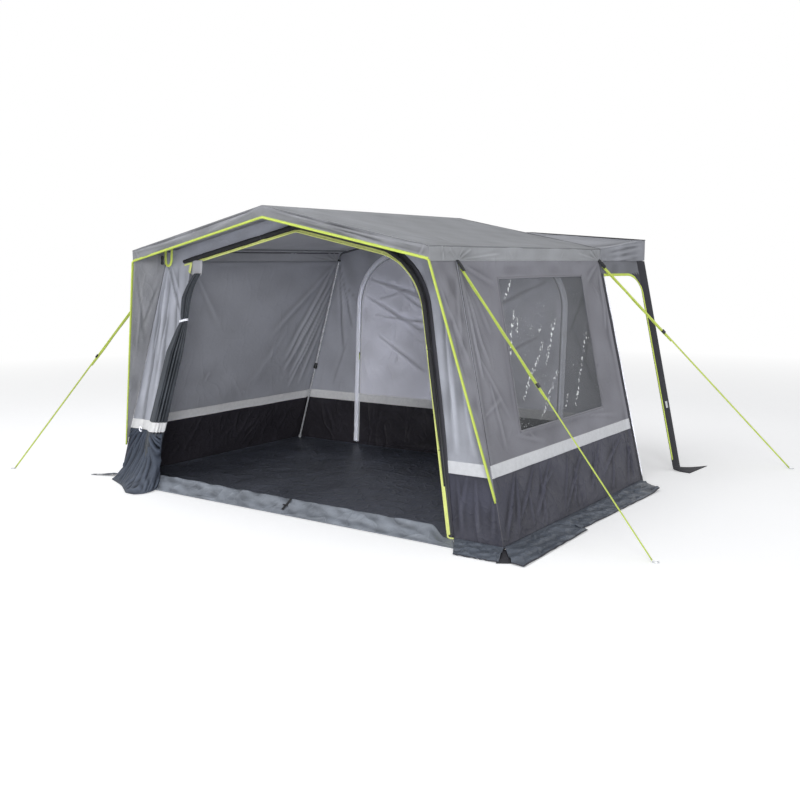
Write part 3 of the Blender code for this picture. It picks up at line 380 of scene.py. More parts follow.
frontAt, rearAt = wallAt(frontY, frontLean), wallAt(rearY, rearLean)
offFront, onRear = offWall(frontAt, frontLean), offWall(rearAt, rearLean)
frontFacing, rearInward, rearOutward = (0, -1, frontLean), (0, -1, rearLean), (0, 1, -rearLean)


def cornerHalf(height):
    return halfGround - sideLean * np.minimum(height, hemHeight)


def sideAt(side):
    return lambda along, height: spots(side * (halfGround - sideLean * height), along, height)


def roofAt(side):  # down the roof from the ridge, then down the hem
    def place(down, along):
        onRoof = np.minimum(down, rafter)
        return spots(side * onRoof / roofStretch, along,
                     ridgeHeight - onRoof * roofSlope / roofStretch - np.maximum(down - rafter, 0))
    return place


def tunnelSideAt(side):
    def place(along, height):  # metres from the room's corner towards the vehicle
        room = spots(cornerHalf(height), rearY + rearLean * height, height)
        vehicle = spots(tunnelFoot - (tunnelFoot - tunnelTop) * height / hemHeight, vehicleY, height)
        return (room + (vehicle - room) * (along / tunnelDepth)[..., None]) * (side, 1, 1)
    return place


def groundAt(x, y):
    return spots(x, y, onGround)


# Soft forms

def hold(distance, reach):  # 0 at an edge, 1 further in than reach
    share = np.clip(distance / reach, 0, 1)
    return share * share * (3 - 2 * share)


def within(*edges):  # the product of holds, each with its distance and reach
    return math.prod(hold(distance, reach) for distance, reach in edges)


def bow(share):  # 0 at both ends, 1 in the middle
    return np.sin(np.pi * np.clip(share, 0, 1))


def bell(distance, reach):
    return np.exp(-(distance / reach) ** 2)


def ripple(across, up, seed, wave, height, count=7):  # soft unevenness of cloth
    source = random.Random(seed)
    total = np.zeros(np.broadcast(across, up).shape)
    for _ in range(count):
        angle, pitch = source.uniform(0, math.tau), math.tau / (wave * source.uniform(0.55, 1.7))
        total += np.sin((across * math.cos(angle) + up * math.sin(angle)) * pitch + source.uniform(0, math.tau))
    return total * height / math.sqrt(count)


def creases(across, up, lines, wide=1.0, deep=1.0):
    # tension folds: from, to, and in millimetres the width at the far end and the depth
    total = np.zeros(np.broadcast(across, up).shape)
    for x0, y0, x1, y1, width, depth in lines:
        run, rise = x1 - x0, y1 - y0
        share = np.clip(((across - x0) * run + (up - y0) * rise) / (run * run + rise * rise), 0, 1)
        off = np.hypot(across - x0 - share * run, up - y0 - share * rise)
        spread = 0.001 * width * wide * (0.4 + 0.6 * share)
        fade = bow(share * 0.94 + 0.06) ** 0.6
        total += 0.001 * depth * deep * fade * (np.exp(-(off / spread) ** 1.4) - 0.4 * bell(off, 2.4 * spread))
    return total


def wrinkles(across, up, seed, wave, height, lines=(), wide=1.0, deep=1.0):
    return ripple(across, up, seed, wave, height) + creases(across, up, lines, wide, deep)


def spray(seed, count, start, shift, width, depth):  # a family of like creases
    source = random.Random(seed)
    lines = []
    for _ in range(count):
        x, y = source.uniform(*start[0]), source.uniform(*start[1])
        lines.append((x, y, x + source.uniform(*shift[0]), y + source.uniform(*shift[1]),
                      width * source.uniform(0.6, 1.4), depth * source.uniform(-0.6, 1.3)))
    return lines


def runs(breaks, counts):
    parts = [np.linspace(a, b, n, endpoint=False) for a, b, n in zip(breaks, breaks[1:], counts)]
    return np.append(np.concatenate(parts), breaks[-1])


def travelled(points, axis=0):  # distance covered along a line, or along a grid's rows or columns on the whole
    steps = np.linalg.norm(np.diff(points, axis=axis), axis=-1)
    return np.append(0, np.cumsum(steps if steps.ndim == 1 else steps.mean(1 - axis)))


def evenly(points, count):  # a line read off at equal distances
    points = np.array(points, float)
    place = travelled(points)
    wanted = np.linspace(0, place[-1], count)
    return np.stack([np.interp(wanted, place, points[:, axis]) for axis in range(points.shape[1])], -1)


def between(inner, outer, shares):  # a grid from one line to another
    return inner[None] * (1 - shares[:, None, None]) + outer[None] * shares[:, None, None]


def unit(vector):
    return vector / np.linalg.norm(vector)


def facings(points, outward):
    normal = np.cross(np.gradient(points, axis=1), np.gradient(points, axis=0))
    normal /= np.maximum(np.linalg.norm(normal, axis=-1, keepdims=True), 1e-12)
    return normal if normal.reshape(-1, 3).mean(0) @ np.array(outward, float) > 0 else -normal


# Meshes

# the fold attribute this gives sets clothPaint's painted shade in hollows and painted highlight on crests
def foldsOf(lift, unitHeight=0.004, reach=36):  # how far each spot stands over the cloth around it, -1 to 1
    soft = lift
    for _ in range(reach):
        wide = np.pad(soft, 1, "edge")
        soft = (wide[:-2, 1:-1] + wide[2:, 1:-1] + wide[1:-1, :-2] + wide[1:-1, 2:] + 2 * soft) / 6
    return np.clip((lift - soft) / unitHeight, -1, 1)


def addGrid(name, points, cut, outward=None, closed=False, hole=None, zones=None, fold=None):
    rows, columns = points.shape[:2]
    row, column = np.mgrid[0:rows - 1, 0:columns if closed else columns - 1]
    steps = [(0, 0), (0, 1), (1, 1), (1, 0)]
    if outward is not None:
        corner = points[:-1, :-1]
        faced = np.cross(points[:-1, 1:] - corner, points[1:, :-1] - corner).reshape(-1, 3).sum(0)
        if faced @ np.array(outward, float) < 0:
            steps.reverse()
    quads = np.stack([(row + r) * columns + (column + c) % columns for r, c in steps], -1).reshape(-1, 4)
    maps = np.stack([cut[row + r, column + c] for r, c in steps], -2).reshape(-1, 4, 2)
    keep = np.ones(len(quads), bool) if hole is None else ~hole.reshape(-1)
    quads, maps = quads[keep], maps[keep]
    used, quads = np.unique(quads, return_inverse=True)
    mesh = bpy.data.meshes.new(name)
    mesh.from_pydata(points.reshape(-1, 3)[used].tolist(), [], quads.reshape(-1, 4).tolist())
    mesh.uv_layers.new(name="cut").uv.foreach_set("vector", maps.astype(np.float32).ravel())
    if zones is not None:
        mesh.polygons.foreach_set("material_index", zones.reshape(-1)[keep].astype(np.int32))
    if fold is not None:
        values = fold.reshape(-1)[used].astype(np.float32)
        mesh.attributes.new("fold", "FLOAT", "POINT").data.foreach_set("value", values)
    mesh.shade_smooth()
    piece = bpy.data.objects.new(name, mesh)
    bpy.context.scene.collection.objects.link(piece)
    x, y = maps[..., 0], maps[..., 1]
    piece["cutArea"] = float(abs((x * np.roll(y, -1, 1) - y * np.roll(x, -1, 1)).sum(1)).sum() / 2)
    return piece


def dress(piece, paintNames, body="awning", nodes=()):
    for paintName in paintNames:
        piece.data.materials.append(paints[paintName])
    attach(piece, body)
    if nodes:
        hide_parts(*nodes)
    return piece


def repaint(paintName, *nodes):  # a CAD node keeps its shape and gets a better finish
    for node in nodes:
        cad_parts[node].data.materials.clear()
        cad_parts[node].data.materials.append(paints[paintName])


def thicken(piece, thickness, inner=0, offset=-1.0):
    solid = piece.modifiers.new("thickness", "SOLIDIFY")
    solid.thickness, solid.offset = thickness, offset
    solid.use_even_offset = False
    solid.material_offset = inner
    solid.use_quality_normals = True
    return piece


def cloth(name, flat, place, outward, look, lift=None, thickness=0.0016, closed=False, hole=None, zones=None,
          body="awning", nodes=(), fold=None):
    # flat: where each point of the cut is on its own surface, in metres; place: the surface, or points on it
    points = place(*halvesOf(flat)) if callable(place) else place
    if lift is not None:
        points = points + facings(points, outward) * lift[..., None]
        fold = foldsOf(lift) if fold is None else fold
    cut = np.concatenate([flat, flat[:, :1]], 1) if closed else flat
    piece = addGrid(name, points, cut, outward, closed, hole, zones, fold)
    dress(piece, look, body, nodes)
    thicken(piece, thickness, len(look) // 2)


def sweep(path, profile, facing, scale=None):  # a profile carried along a path, its second axis towards facing
    path = np.array(path, float)
    ahead = np.gradient(path, axis=0)
    ahead /= np.linalg.norm(ahead, axis=1, keepdims=True)
    facing = np.broadcast_to(np.array(facing, float), path.shape)
    over = facing - ahead * (facing * ahead).sum(1, keepdims=True)
    over /= np.linalg.norm(over, axis=1, keepdims=True)
    across = np.cross(ahead, over)
    profile = np.broadcast_to(np.array(profile, float), (len(path), len(profile), 2)).copy()
    if scale is not None:
        profile *= np.array(scale)[:, None, None]
    points = path[:, None] + across[:, None] * profile[..., :1] + over[:, None] * profile[..., 1:]
    return points, travelled(path)


def around(profile):  # distance round a profile, closing it
    return travelled(np.concatenate([profile, profile[:1]]))


def ringProfile(radius, count=12, flatness=1.0):
    angle = np.linspace(0, math.tau, count, endpoint=False)
    return np.stack([radius * np.cos(angle), radius * flatness * np.sin(angle)], -1)


def capped(piece):  # close both ends of a tube
    work = bmesh.new()
    work.from_mesh(piece.data)
    bmesh.ops.holes_fill(work, edges=[edge for edge in work.edges if edge.is_boundary], sides=0)
    bmesh.ops.recalc_face_normals(work, faces=work.faces)
    work.to_mesh(piece.data)
    work.free()
    return piece


def rod(name, path, profile, facing, look, nodes=()):
    points, along = sweep(path, profile, facing)
    piece = capped(addGrid(name, points, spots(around(profile), along[:, None]), closed=True))
    return dress(piece, [look], nodes=nodes)


def tape(name, path, width, facing, look, rise=0.0, thickness=0.0012, columns=4, crown=0.0, scale=None,
         slotName=None):
    # a flat ribbon that lies on a surface, rise above it
    edge = np.linspace(-width / 2, width / 2, columns)
    profile = np.stack([edge, rise + crown * (1 - (2 * edge / width) ** 2)], -1)
    points, along = sweep(path, profile, facing, scale)
    outward = np.broadcast_to(np.array(facing, float), (len(path), 3)).mean(0)
    piece = addGrid(name, points, spots(edge + width / 2, along[:, None]), outward)
    return thicken(dress(piece, [look]), thickness)


def hoop(name, loop, way, width, length, look, thickness):  # a narrow band round a bundle
    cut = spots(np.linspace(0, length, len(loop) + 1), np.array((0, width))[:, None])
    step = np.array(way) * width / 2
    piece = addGrid(name, np.stack([loop - step, loop + step]), cut, closed=True)
    return thicken(dress(piece, [look]), thickness, offset=1.0)


def waisted(half, waist):  # a toggle's outline, the same above and below its waist
    return [*[(radius, -height) for radius, height in half], (waist, 0.0), *half[::-1]]


def turned(name, profile, origin, axis, look="blackPlastic", count=20):  # lathe work
    axis = Vector(axis).normalized()
    side = axis.orthogonal().normalized()
    other = axis.cross(side)
    angle = np.linspace(0, math.tau, count, endpoint=False)
    ring = np.cos(angle)[:, None] * np.array(side) + np.sin(angle)[:, None] * np.array(other)
    profile = np.array(profile, float)
    points = np.array(origin) + profile[:, None, :1] * ring[None] + profile[:, None, 1:] * np.array(axis)
    cut = spots(np.append(angle, math.tau) * profile[:, 0].max(), travelled(profile)[:, None])
    return dress(capped(addGrid(name, points, cut, closed=True)), [look])


# Outlines of the doorways

doorShape = {"width": 3.044, "lean": 0.2, "peak": 2.125, "radius": 0.52, "sharp": 0.05}
rearDoorShape = {"width": 2.26, "lean": 0.0, "peak": 2.09, "radius": 0.5, "sill": 0.03}
stripBreaks = [0.45, 0.4515, 0.5365, 0.538]
wallLook = ["wallCloth", "reflectiveTape", "wallLower", "wallInside", "stripPaintedLight", "wallLowerInside"]


def arch(shape, foot=0.0, grow=0.0, radius=None, steps=14):
    # right half of a doorway from its foot to its peak, grown outwards
    half, lean, peak = shape["width"] / 2, shape["lean"], shape["peak"]
    radius = radius or shape["radius"]
    sideNorm = math.hypot(1, lean)
    side, head = half - radius * sideNorm, peak - radius * roofStretch
    det = 1 - lean * roofSlope
    centreX, centreZ = (side - lean * head) / det, (head - roofSlope * side) / det
    angle = np.linspace(math.atan2(lean, 1), math.atan2(1, roofSlope), steps + 1)
    bend = spots(centreX + (radius + grow) * np.cos(angle), centreZ + (radius + grow) * np.sin(angle))
    return np.array([(half + grow * sideNorm - lean * foot, foot), *bend, (0.0, peak + grow * roofStretch)])


def mirrored(half, left=None):  # the right half, then the left half back down
    return np.concatenate([half, ((half if left is None else left) * (-1, 1))[::-1][1:]])


def doorEdge(foot=0.0, grow=0.0, leftFoot=None):  # its left corner, where no zip runs, is a sharp one
    left = arch(doorShape, foot if leftFoot is None else leftFoot, grow, doorShape["sharp"] + max(grow, 0))
    return mirrored(arch(doorShape, foot, grow), left)


def wallHalf(door, heights, gable, bends, slopes):
    # matched points up the doorway's edge and up the corner, round the arch, and along the roof
    high = door[1][1]
    inner = spots(np.interp(heights, [heights[0], high], [door[0][0], door[1][0]]), heights)
    bend = evenly(door[1:-1], bends)
    turnTo = bend[-1][0]
    slope = np.linspace(turnTo, 0, slopes)
    overDoor = spots(slope, np.interp(slope, [0, turnTo], [door[-1][1], bend[-1][1]]))
    shoulder = evenly([(cornerHalf(high), high), (halfTop, hemHeight), (halfTop, gable - roofSlope * halfTop),
                       (turnTo, gable - roofSlope * turnTo)], bends)
    outer, onRoof = spots(cornerHalf(heights), heights), spots(slope, gable - roofSlope * slope)
    return np.concatenate([inner, bend[1:], overDoor[1:]]), np.concatenate([outer, shoulder[1:], onRoof[1:]])


def zonesOf(flat):  # above the strip, on it and below it
    height = (flat[:-1, :-1, 1] + flat[1:, 1:, 1]) / 2
    return np.where(height > stripHigh, 0, np.where(height > stripLow, 1, 2))


def onStrip(height):
    return np.where((height > stripLow) & (height < stripHigh), 0.0014, 0.0)


# Camera and the guys come first

shot = {"eye": (4.9314, -6.8619, 1.8716), "yaw": 0.6179, "pitch": -0.1416, "roll": -0.0053, "lens": 43.05,
        "sensor": 36.0, "far": 200.0}


def placeCamera():
    yaw, pitch, roll = shot["yaw"], shot["pitch"], shot["roll"]
    ahead = Vector((-math.sin(yaw) * math.cos(pitch), math.cos(yaw) * math.cos(pitch), math.sin(pitch)))
    level = Vector((math.cos(yaw), math.sin(yaw), 0))
    above = level.cross(ahead)
    right = level * math.cos(roll) + above * math.sin(roll)
    up = above * math.cos(roll) - level * math.sin(roll)
    lens = bpy.data.cameras.new("photoCamera")
    lens.lens, lens.sensor_width, lens.clip_end = (shot[key] for key in ("lens", "sensor", "far"))
    camera = bpy.data.objects.new("photoCamera", lens)
    camera.matrix_world = Matrix.Translation(shot["eye"]) @ Matrix((right, up, -ahead)).transposed().to_4x4()
    bpy.context.scene.collection.objects.link(camera)
    bpy.context.scene.camera = camera


guys = {  # how far sideways and back each one runs, and how far along it its slider sits
    "front_left": {"run": (1.61, -0.53), "reach": 1.085},
    "front_right": {"run": (1.41, 0.11), "reach": 1.01},
    "rear_left": {"run": (1.43, 1.145), "reach": 0.865},
    "rear_right": {"run": (1.43, 1.145), "reach": 0.865},
}
guyLook = {"width": 0.018, "thickness": 0.002, "start": 0.01, "taper": 0.016, "ring": 0.02, "wire": 0.0028,
           "foldStart": 0.06, "foldSide": 0.0055, "foldDrop": 0.0034, "slack": 0.004, "tail": 0.11}
guyLoopLook = {"from": -0.006, "to": 0.084, "rise": 0.0057, "puff": 0.003, "width": 0.038, "thickness": 0.0026}


def guyFrame(corner):  # anchor, unit axes across, along and out of the webbing, and its length
    end, word = corner.split("_")
    side = sides[word]
    wall = frontAt if end == "front" else rearAt
    anchor, below = Vector(wall(side * halfTop, hemHeight)), Vector(wall(side * halfGround, 0.0))
    behind = anchor + Vector((0, 2.4, 0))
    if end == "rear":
        behind = Vector(tunnelSideAt(side)(np.array(tunnelDepth), hemHeight))
    facing = (below - anchor).cross(behind - anchor).normalized() * side
    run, back = guys[corner]["run"]
    ring = Vector((anchor.x + side * run, anchor.y + back, guyLook["wire"]))
    towards = anchor - ring
    towards.z = 0
    foot = ring + towards.normalized() * (guyLook["ring"] + guyLook["wire"])
    foot.z += 2 * guyLook["wire"]
    along = (foot - anchor).normalized()
    flat = along.cross(facing).normalized()
    return *(np.array(part) for part in (anchor, flat, along, flat.cross(along))), (foot - anchor).length


def makeGuys():
    section = np.array([(-1, -1), (-0.5, -1.12), (0, -1), (0.5, -1.12), (1, -1)])
    section = np.concatenate([section, -section])
    width, thickness, start, taper = (guyLook[key] for key in ("width", "thickness", "start", "taper"))
    for corner, guy in guys.items():
        anchor, flat, along, over, length = guyFrame(corner)
        end = length - 0.002
        place = runs([start, start + taper, end], [4, 34])
        half = np.interp(place, [start, start + taper], [0.0015, width / 2])
        route = anchor + place[:, None] * along
        points = (route[:, None] + flat * (section[:, 0] * half[:, None])[..., None]
                  + over * (section[:, 1] * thickness / 2)[None, :, None])
        cut = spots(around(section * (width / 2, thickness / 2)), place[:, None])
        strap = capped(addGrid("guyWebbing_" + corner, points, cut, closed=True))
        dress(strap, ["limeWebbing"], nodes=["guy_strap_" + corner])
        # the run that comes back from the slider lies under the first one
        back = runs([guyLook["foldStart"], guy["reach"] + guyLook["tail"]], [30])
        slack = guyLook["slack"] * np.sin((back - back[0]) / np.ptp(back) * np.pi * 3) ** 2
        under = anchor + flat * guyLook["foldSide"] + back[:, None] * along
        under -= over * (guyLook["foldDrop"] + slack)[:, None]
        fold = tape("guyReturn_" + corner, under, width, over, "limeWebbing", -0.0008, 0.0016, 5)
        loop = guyLoop(corner, anchor, along, over)
        fittings = [f"guy_{part}_{corner}" for part in ("buckle", "tensioner", "ring")]
        repaint("blackPlastic", *fittings[:2])
        repaint("steelTube", fittings[2])


def guyLoop(corner, anchor, along, over):  # the black loop that is sewn into the seam and holds the plate
    look = guyLoopLook
    place = np.linspace(look["from"], look["to"], 12)
    rise = look["rise"] + look["puff"] * np.sin((place - place[0]) / np.ptp(place) * np.pi)
    path = anchor + place[:, None] * along + over * rise[:, None]
    return tape("guyLoop_" + corner, path, look["width"], over, "blackWebbing", thickness=look["thickness"],
                crown=0.004, columns=7)


placeCamera()
makeGuys()
print("awning: camera and guys placed")


# Roof and canopy

gablePoles = (-1.243, 0.972)
eavePoleAt = 1.34 * roofStretch
roofLook = {
    "sag": 0.022, "poleRidge": 0.0035, "poleWidth": 0.014, "ripple": 0.0022, "hem": 0.103,
    "creases": [
        (rafter - 0.02, gablePoles[0], 1.1, -0.98, 18, 9), (rafter - 0.02, gablePoles[0], 1.22, -1.52, 16, 9),
        (rafter - 0.02, gablePoles[0], 0.95, -1.32, 18, 8), (rafter - 0.02, gablePoles[1], 1.05, 0.74, 18, 8),
        (1.4, -1.6, 0.25, -1.575, 22, 9), (1.3, -1.5, 0.5, -1.46, 24, 7), (0.12, -1.622, 1.3, -1.606, 16, -11),
        (0.6, -1.56, 1.42, -1.59, 14, -8), (0.03, canopyY, 0.42, -1.36, 22, 4),
        (0.02, gablePoles[0], 0.4, -1.02, 25, 3.5), (0.02, gablePoles[1], 0.45, 0.7, 30, 3.5),
        (rafter - 0.03, 0.1, 1.1, 0.3, 30, 3),
    ],
    "hemCreases": [
        (rafter + 0.102, -1.3, rafter + 0.02, -1.12, 10, 9), (rafter + 0.102, -1.3, rafter + 0.01, -1.22, 8, 8),
        (rafter + 0.102, -1.3, rafter + 0.015, -1.4, 8, 8), (rafter + 0.103, 1.02, rafter + 0.02, 0.84, 11, 9),
        (rafter + 0.004, -1.49, rafter + 0.1, -1.47, 10, 8), (rafter + 0.09, -1.25, rafter + 0.05, -0.7, 10, 5),
        (rafter + 0.103, 1.02, rafter + 0.01, 0.93, 8, 8), (rafter + 0.09, 0.98, rafter + 0.04, 0.6, 10, 5),
        (rafter + 0.005, -0.6, rafter + 0.09, -0.52, 10, 1.8),
        (rafter + 0.005, 0.35, rafter + 0.09, 0.28, 10, 1.8),
    ],
}


def makeRoof():
    front, rear = gablePoles
    for word, side in sides.items():
        place = roofAt(side)
        down = runs([0.002, 0.06, eavePoleAt, *(rafter + np.array((-0.012, 0, 0.01, roofLook["hem"])))],
                    [6, 88, 8, 5, 4, 14])
        flat = spots(down[:, None], np.linspace(canopyY + 0.0033, roofBackY, 190))
        d, y = halvesOf(flat)
        bays = np.where(y > front, bow((y - front) / (rear - front)) ** 0.7, 0.35 * bow((front - y) / 0.5))
        poles = bell(y - front, roofLook["poleWidth"]) + bell(y - rear, roofLook["poleWidth"])
        small = spray(5 + side, 9, ((1.0, 1.45), (-1.5, 0.9)), ((-0.35, -0.15), (-0.25, 0.25)), 22, 2.2)
        sag = roofLook["sag"] * bow(d / eavePoleAt) ** 0.8 * bays
        lift = within((d, 0.14), (rafter - d, 0.1)) * (
            ripple(d, y, 11 + side, 0.55, roofLook["ripple"]) - sag + roofLook["poleRidge"] * poles
            + creases(d, y, roofLook["creases"] + small))
        lift += within((d - rafter, 0.012), (rafter + 0.11 - d, 0.02)) * (
            ripple(d * 2, y, 21 + side, 0.3, 0.0014) + creases(d, y, roofLook["hemCreases"], 1.0, 1.7))
        look = ["roofCloth", "hemCloth", "roofInside", "roofInside"]
        cloth("roofCloth_" + word, flat, place, (side * 0.2, 0, 1), look, lift, nodes=["roof_" + word],
              zones=np.where(d[:-1, :-1] >= rafter - 0.001, 1, 0))
        # a flat-felled seam along the hem's top and the binding along its foot
        out = np.array((side, 0, 0))
        edge = place(rafter + 0.0005, np.linspace(canopyY + 0.006, roofBackY - 0.003, 60))
        tape("eaveSeam_" + word, edge + out * 0.0006 - (0, 0, 0.004), 0.009, out, "roofTape", 0.0003)
        foot = place(rafter + 0.0975, np.linspace(frontY + 0.2, roofBackY - 0.004, 80))
        tape("hemTape_" + word, foot, 0.011, out, "hemCloth", 0.0018)
        inside = place(rafter + 0.01, np.linspace(frontY + 0.22, roofBackY - 0.02, 80))
        tape("hemPocket_" + word, inside - out * 0.003, 0.012, -out, "greyTape", slotName="roof_cloth")
    ridge = spots(0.0, np.linspace(canopyY + 0.004, roofBackY, 60), ridgeHeight - 0.0012)
    tape("ridgeSeam", ridge, 0.026, (0, 0, 1), "roofTape", crown=0.0012, columns=7)


fasciaCreases = [
    (0.05, 0.016, 1.3, 0.022, 9, -12), (0.25, 0.03, 1.1, 0.05, 10, -9), (-0.05, 0.014, -1.25, 0.02, 8, -7),
    (0.02, 0.01, 0.95, 0.055, 16, 8), (1.42, 0.02, 0.5, 0.03, 14, 7.5), (1.43, 0.07, 0.85, 0.075, 12, 6),
    (0.1, 0.085, 0.7, 0.075, 12, 5), (-0.02, 0.01, -0.6, 0.06, 14, 6), (-1.42, 0.02, -0.75, 0.04, 14, 7),
    (1.43, 0.0, 1.38, 0.09, 10, 6), (-1.43, 0.0, -1.38, 0.09, 10, 6),
]


def makeFascia():
    def place(x, drop):
        return spots(x, canopyY, ridgeHeight - roofSlope * abs(x) - drop)
    flat = spots(runs([-halfTop, -0.012, 0.012, halfTop], [150, 6, 150]), np.linspace(0, 0.0935, 14)[:, None])
    x, d = halvesOf(flat)
    lift = within((d, 0.015), (0.098 - d, 0.02), (halfTop - abs(x), 0.03)) * (
        ripple(x, d * 3, 31, 0.42, 0.0026) + creases(x, d, fasciaCreases, 1.0, 1.5))
    cloth("fasciaCloth", flat, place, (0, -1, 0), ["fasciaCloth", "roofInside"], lift,
          nodes=["canopy_fascia"])
    across = np.linspace(-halfTop + 0.001, halfTop - 0.001, 121)
    tape("fasciaTopSeam", place(across, 0.005), 0.008, (0, -1, 0), "roofTape", 0.0012)
    tape("fasciaLimeTape", place(across, 0.087), 0.019, (0, -1, 0), "limePiping", 0.0022)


wingLook = {
    "foot": 0.3, "top": 1.972, "in": 0.0075, "ripple": 0.003,
    "creases": [
        (0.02, 1.87, 0.16, 1.2, 16, 14), (0.34, 1.87, 0.1, 1.3, 16, 16), (0.3, 1.86, 0.22, 1.0, 18, 12),
        (0.1, 1.8, 0.06, 1.1, 12, -10),
    ],
}


def makeWings():
    for word, side in sides.items():
        inside, low = side * (halfTop - wingLook["in"]), wingLook["foot"]
        foot = frontAt(side * cornerHalf(low), low)
        # from up inside the hem down to the foot: under the fascia, and along the wall's corner
        upper = (wingLook["top"], hemHeight + 0.008)
        canopyLine, seamLine = (
            evenly([*[(inside, back, height) for height in upper], foot - (0, offset, 0)], 80)
            for offset, back in ((0.01, canopyY + 0.003), (0.005, frontAt(0, hemHeight)[1] - 0.005)))
        shares = np.linspace(0, 1, 22)
        grid = between(canopyLine, seamLine, shares)
        shares, height = shares[:, None], grid[..., 2]
        across = shares * np.linalg.norm(canopyLine - seamLine, axis=1)
        lift = wrinkles(across, height, 41 + side, 0.3, wingLook["ripple"], wingLook["creases"], 1.3)
        lift *= within((shares, 0.25), (1 - shares, 0.25), (height - low, 0.2), (1.9 - height, 0.05))
        cloth("wingCloth_" + word, spots(across, height), grid, (side, -0.3, 0.2), ["wallCloth", "wingInside"],
              lift, nodes=["canopy_wing_" + word])


def bentLine(points, radius, steps=7):  # a line with each inner corner rounded
    points = [Vector(point) for point in points]
    line = [points[0]]
    for before, corner, after in zip(points, points[1:], points[2:]):
        back, ahead = (before - corner).normalized(), (after - corner).normalized()
        half = back.angle(ahead) / 2
        centre = corner + (back + ahead).normalized() * radius / math.sin(half)
        start, end = (corner + way * radius / math.tan(half) - centre for way in (back, ahead))
        line += [centre + start.slerp(end, step / steps).normalized() * radius for step in range(steps + 1)]
    return np.array([*line, points[-1]])


pipingLook = {"radius": 0.0062, "bend": 0.014, "ahead": 0.007, "drop": 0.09}


def makePiping():
    foot = wingLook["foot"]
    front = canopyY - pipingLook["ahead"]
    low = eaveHeight - pipingLook["drop"]
    ends = {word: (frontAt(side * cornerHalf(foot), foot) - (0, 0.017, 0), spots(side * halfTop, front, low))
            for word, side in sides.items()}
    peak = (0, front, ridgeHeight - pipingLook["drop"])
    path = bentLine([*ends["right"], peak, *ends["left"][::-1]], pipingLook["bend"])
    rod("canopyPipingCord", evenly(path, 260), ringProfile(pipingLook["radius"]), (0.02, -1, 0.3), "limePiping",
        nodes=["canopy_piping"])
    for word, (foot, hem) in ends.items():
        line = foot + (hem - foot) * np.linspace(0.01, 1.0, 50)[:, None]
        tape("wingPipingFlange_" + word, line + (0, 0.011, 0), 0.018, (sides[word], 0, 0), "limePiping", 0.0012)


makeRoof()
makeFascia()
makeWings()
makePiping()
print("awning: roof and canopy made")


# Front wall and doorway

frontLook = {
    "pleat": 0.014, "ripple": 0.003, "hem": 0.0014, "under": 0.0215, "leftFrom": -0.9,
    "right": [  # one long fold beside the placket, and slack below the strip
        (1.36, 1.72, 1.545, 0.58, 18, 20), (1.44, 1.87, 1.6, 0.95, 14, 14), (1.455, 1.87, 1.42, 1.35, 12, 12),
        (1.455, 1.87, 1.36, 1.66, 12, 8), (1.5, 1.3, 1.68, 0.58, 16, 11), (1.62, 1.0, 1.78, 0.55, 14, 8),
        (1.79, 0.44, 1.93, 0.2, 14, 9), (1.635, 0.44, 1.6, 0.2, 14, 10), (1.56, 0.42, 1.62, 0.05, 14, 11),
        (1.7, 0.43, 1.74, 0.06, 13, 11), (1.84, 0.4, 1.86, 0.05, 12, 8),
    ],
    "left": [
        (-1.44, 1.87, -1.25, 1.45, 12, -24), (-1.4, 1.87, -1.22, 1.5, 12, 16),
        (-1.44, 1.8, -1.52, 1.05, 14, 16), (-1.4, 1.55, -1.56, 0.65, 16, 20), (-1.3, 1.4, -1.44, 0.62, 14, -16),
        (-1.5, 1.4, -1.68, 0.62, 14, -16),
    ],
}


def makeFrontWall():
    gable = ridgeHeight - frontLook["under"] * roofStretch
    halves = []
    for radius in (doorShape["radius"], doorShape["sharp"]):
        door = arch(doorShape, radius=radius)
        heights = runs([0.0, *stripBreaks, door[1][1]], [34, 1, 8, 1, 76])
        halves.append(wallHalf(door, heights, gable, 34, 60))
    inner, outer = (mirrored(right, left) for right, left in zip(*halves))
    shares = runs([0, 0.06, 1], [4, 40])
    flat = between(inner, outer, shares)
    x, z = halvesOf(flat)
    width = np.linalg.norm(outer - inner, axis=1)[None]
    fromDoor, fromSeam = shares[:, None] * width, (1 - shares)[:, None] * width
    soft = within((fromDoor, 0.09), (fromSeam, 0.05), (z, 0.05))
    lift = onStrip(z) + soft * ripple(x, z, 51, 0.34, frontLook["ripple"])
    lift += frontLook["hem"] * (1 - hold(fromDoor - 0.012, 0.01))  # the doorway's turned hem
    lift += within((fromDoor, 0.07), (fromSeam, 0.025), (z, 0.05)) * creases(x, z, frontLook["right"], 1.4, 1.3)
    # left panel: pleats from the canopy's corner down
    fan = (abs(x) - 1.2) / (0.24 + 0.3 * (1 - z / hemHeight))
    pleats = (abs(np.sin(fan * 8.5 + 0.5 * np.sin(z * 2.1))) ** 0.7 - 0.6) * hold(1.95 - z, 0.5)
    left = soft * (frontLook["pleat"] * pleats + creases(x, z, frontLook["left"], 1.3))
    lift += np.where(x < frontLook["leftFrom"], left, 0)
    zones = zonesOf(flat)  # the left panel's strip takes the whiter tape: painted light where the wing shades it and the lamp is further off
    zones = np.where((x[:-1, :-1] < 0) & (zones == 1), 3, zones)
    # the front wall's outside takes the lighter panel cloth, painted light in the canopy's shade
    look = ["panelCloth", "reflectiveTape", "wallLower", "stripPaintedLight",
            "wallInside", "stripPaintedLight", "wallLowerInside", "stripPaintedLight"]
    cloth("frontCloth", flat, frontAt, (0, -1, 0), look, lift, zones=zones, nodes=["front_wall"])


# how far outside the doorway's edge each line runs, how far off the wall, and where it ends on the left
trimLook = {"piping": -0.007, "flange": 0.006, "placket": 0.05, "zip": 0.022, "off": 0.0055, "leftFoot": 1.8,
            "placketWidth": 0.036, "zipWidth": 0.024, "flangeWidth": 0.018}


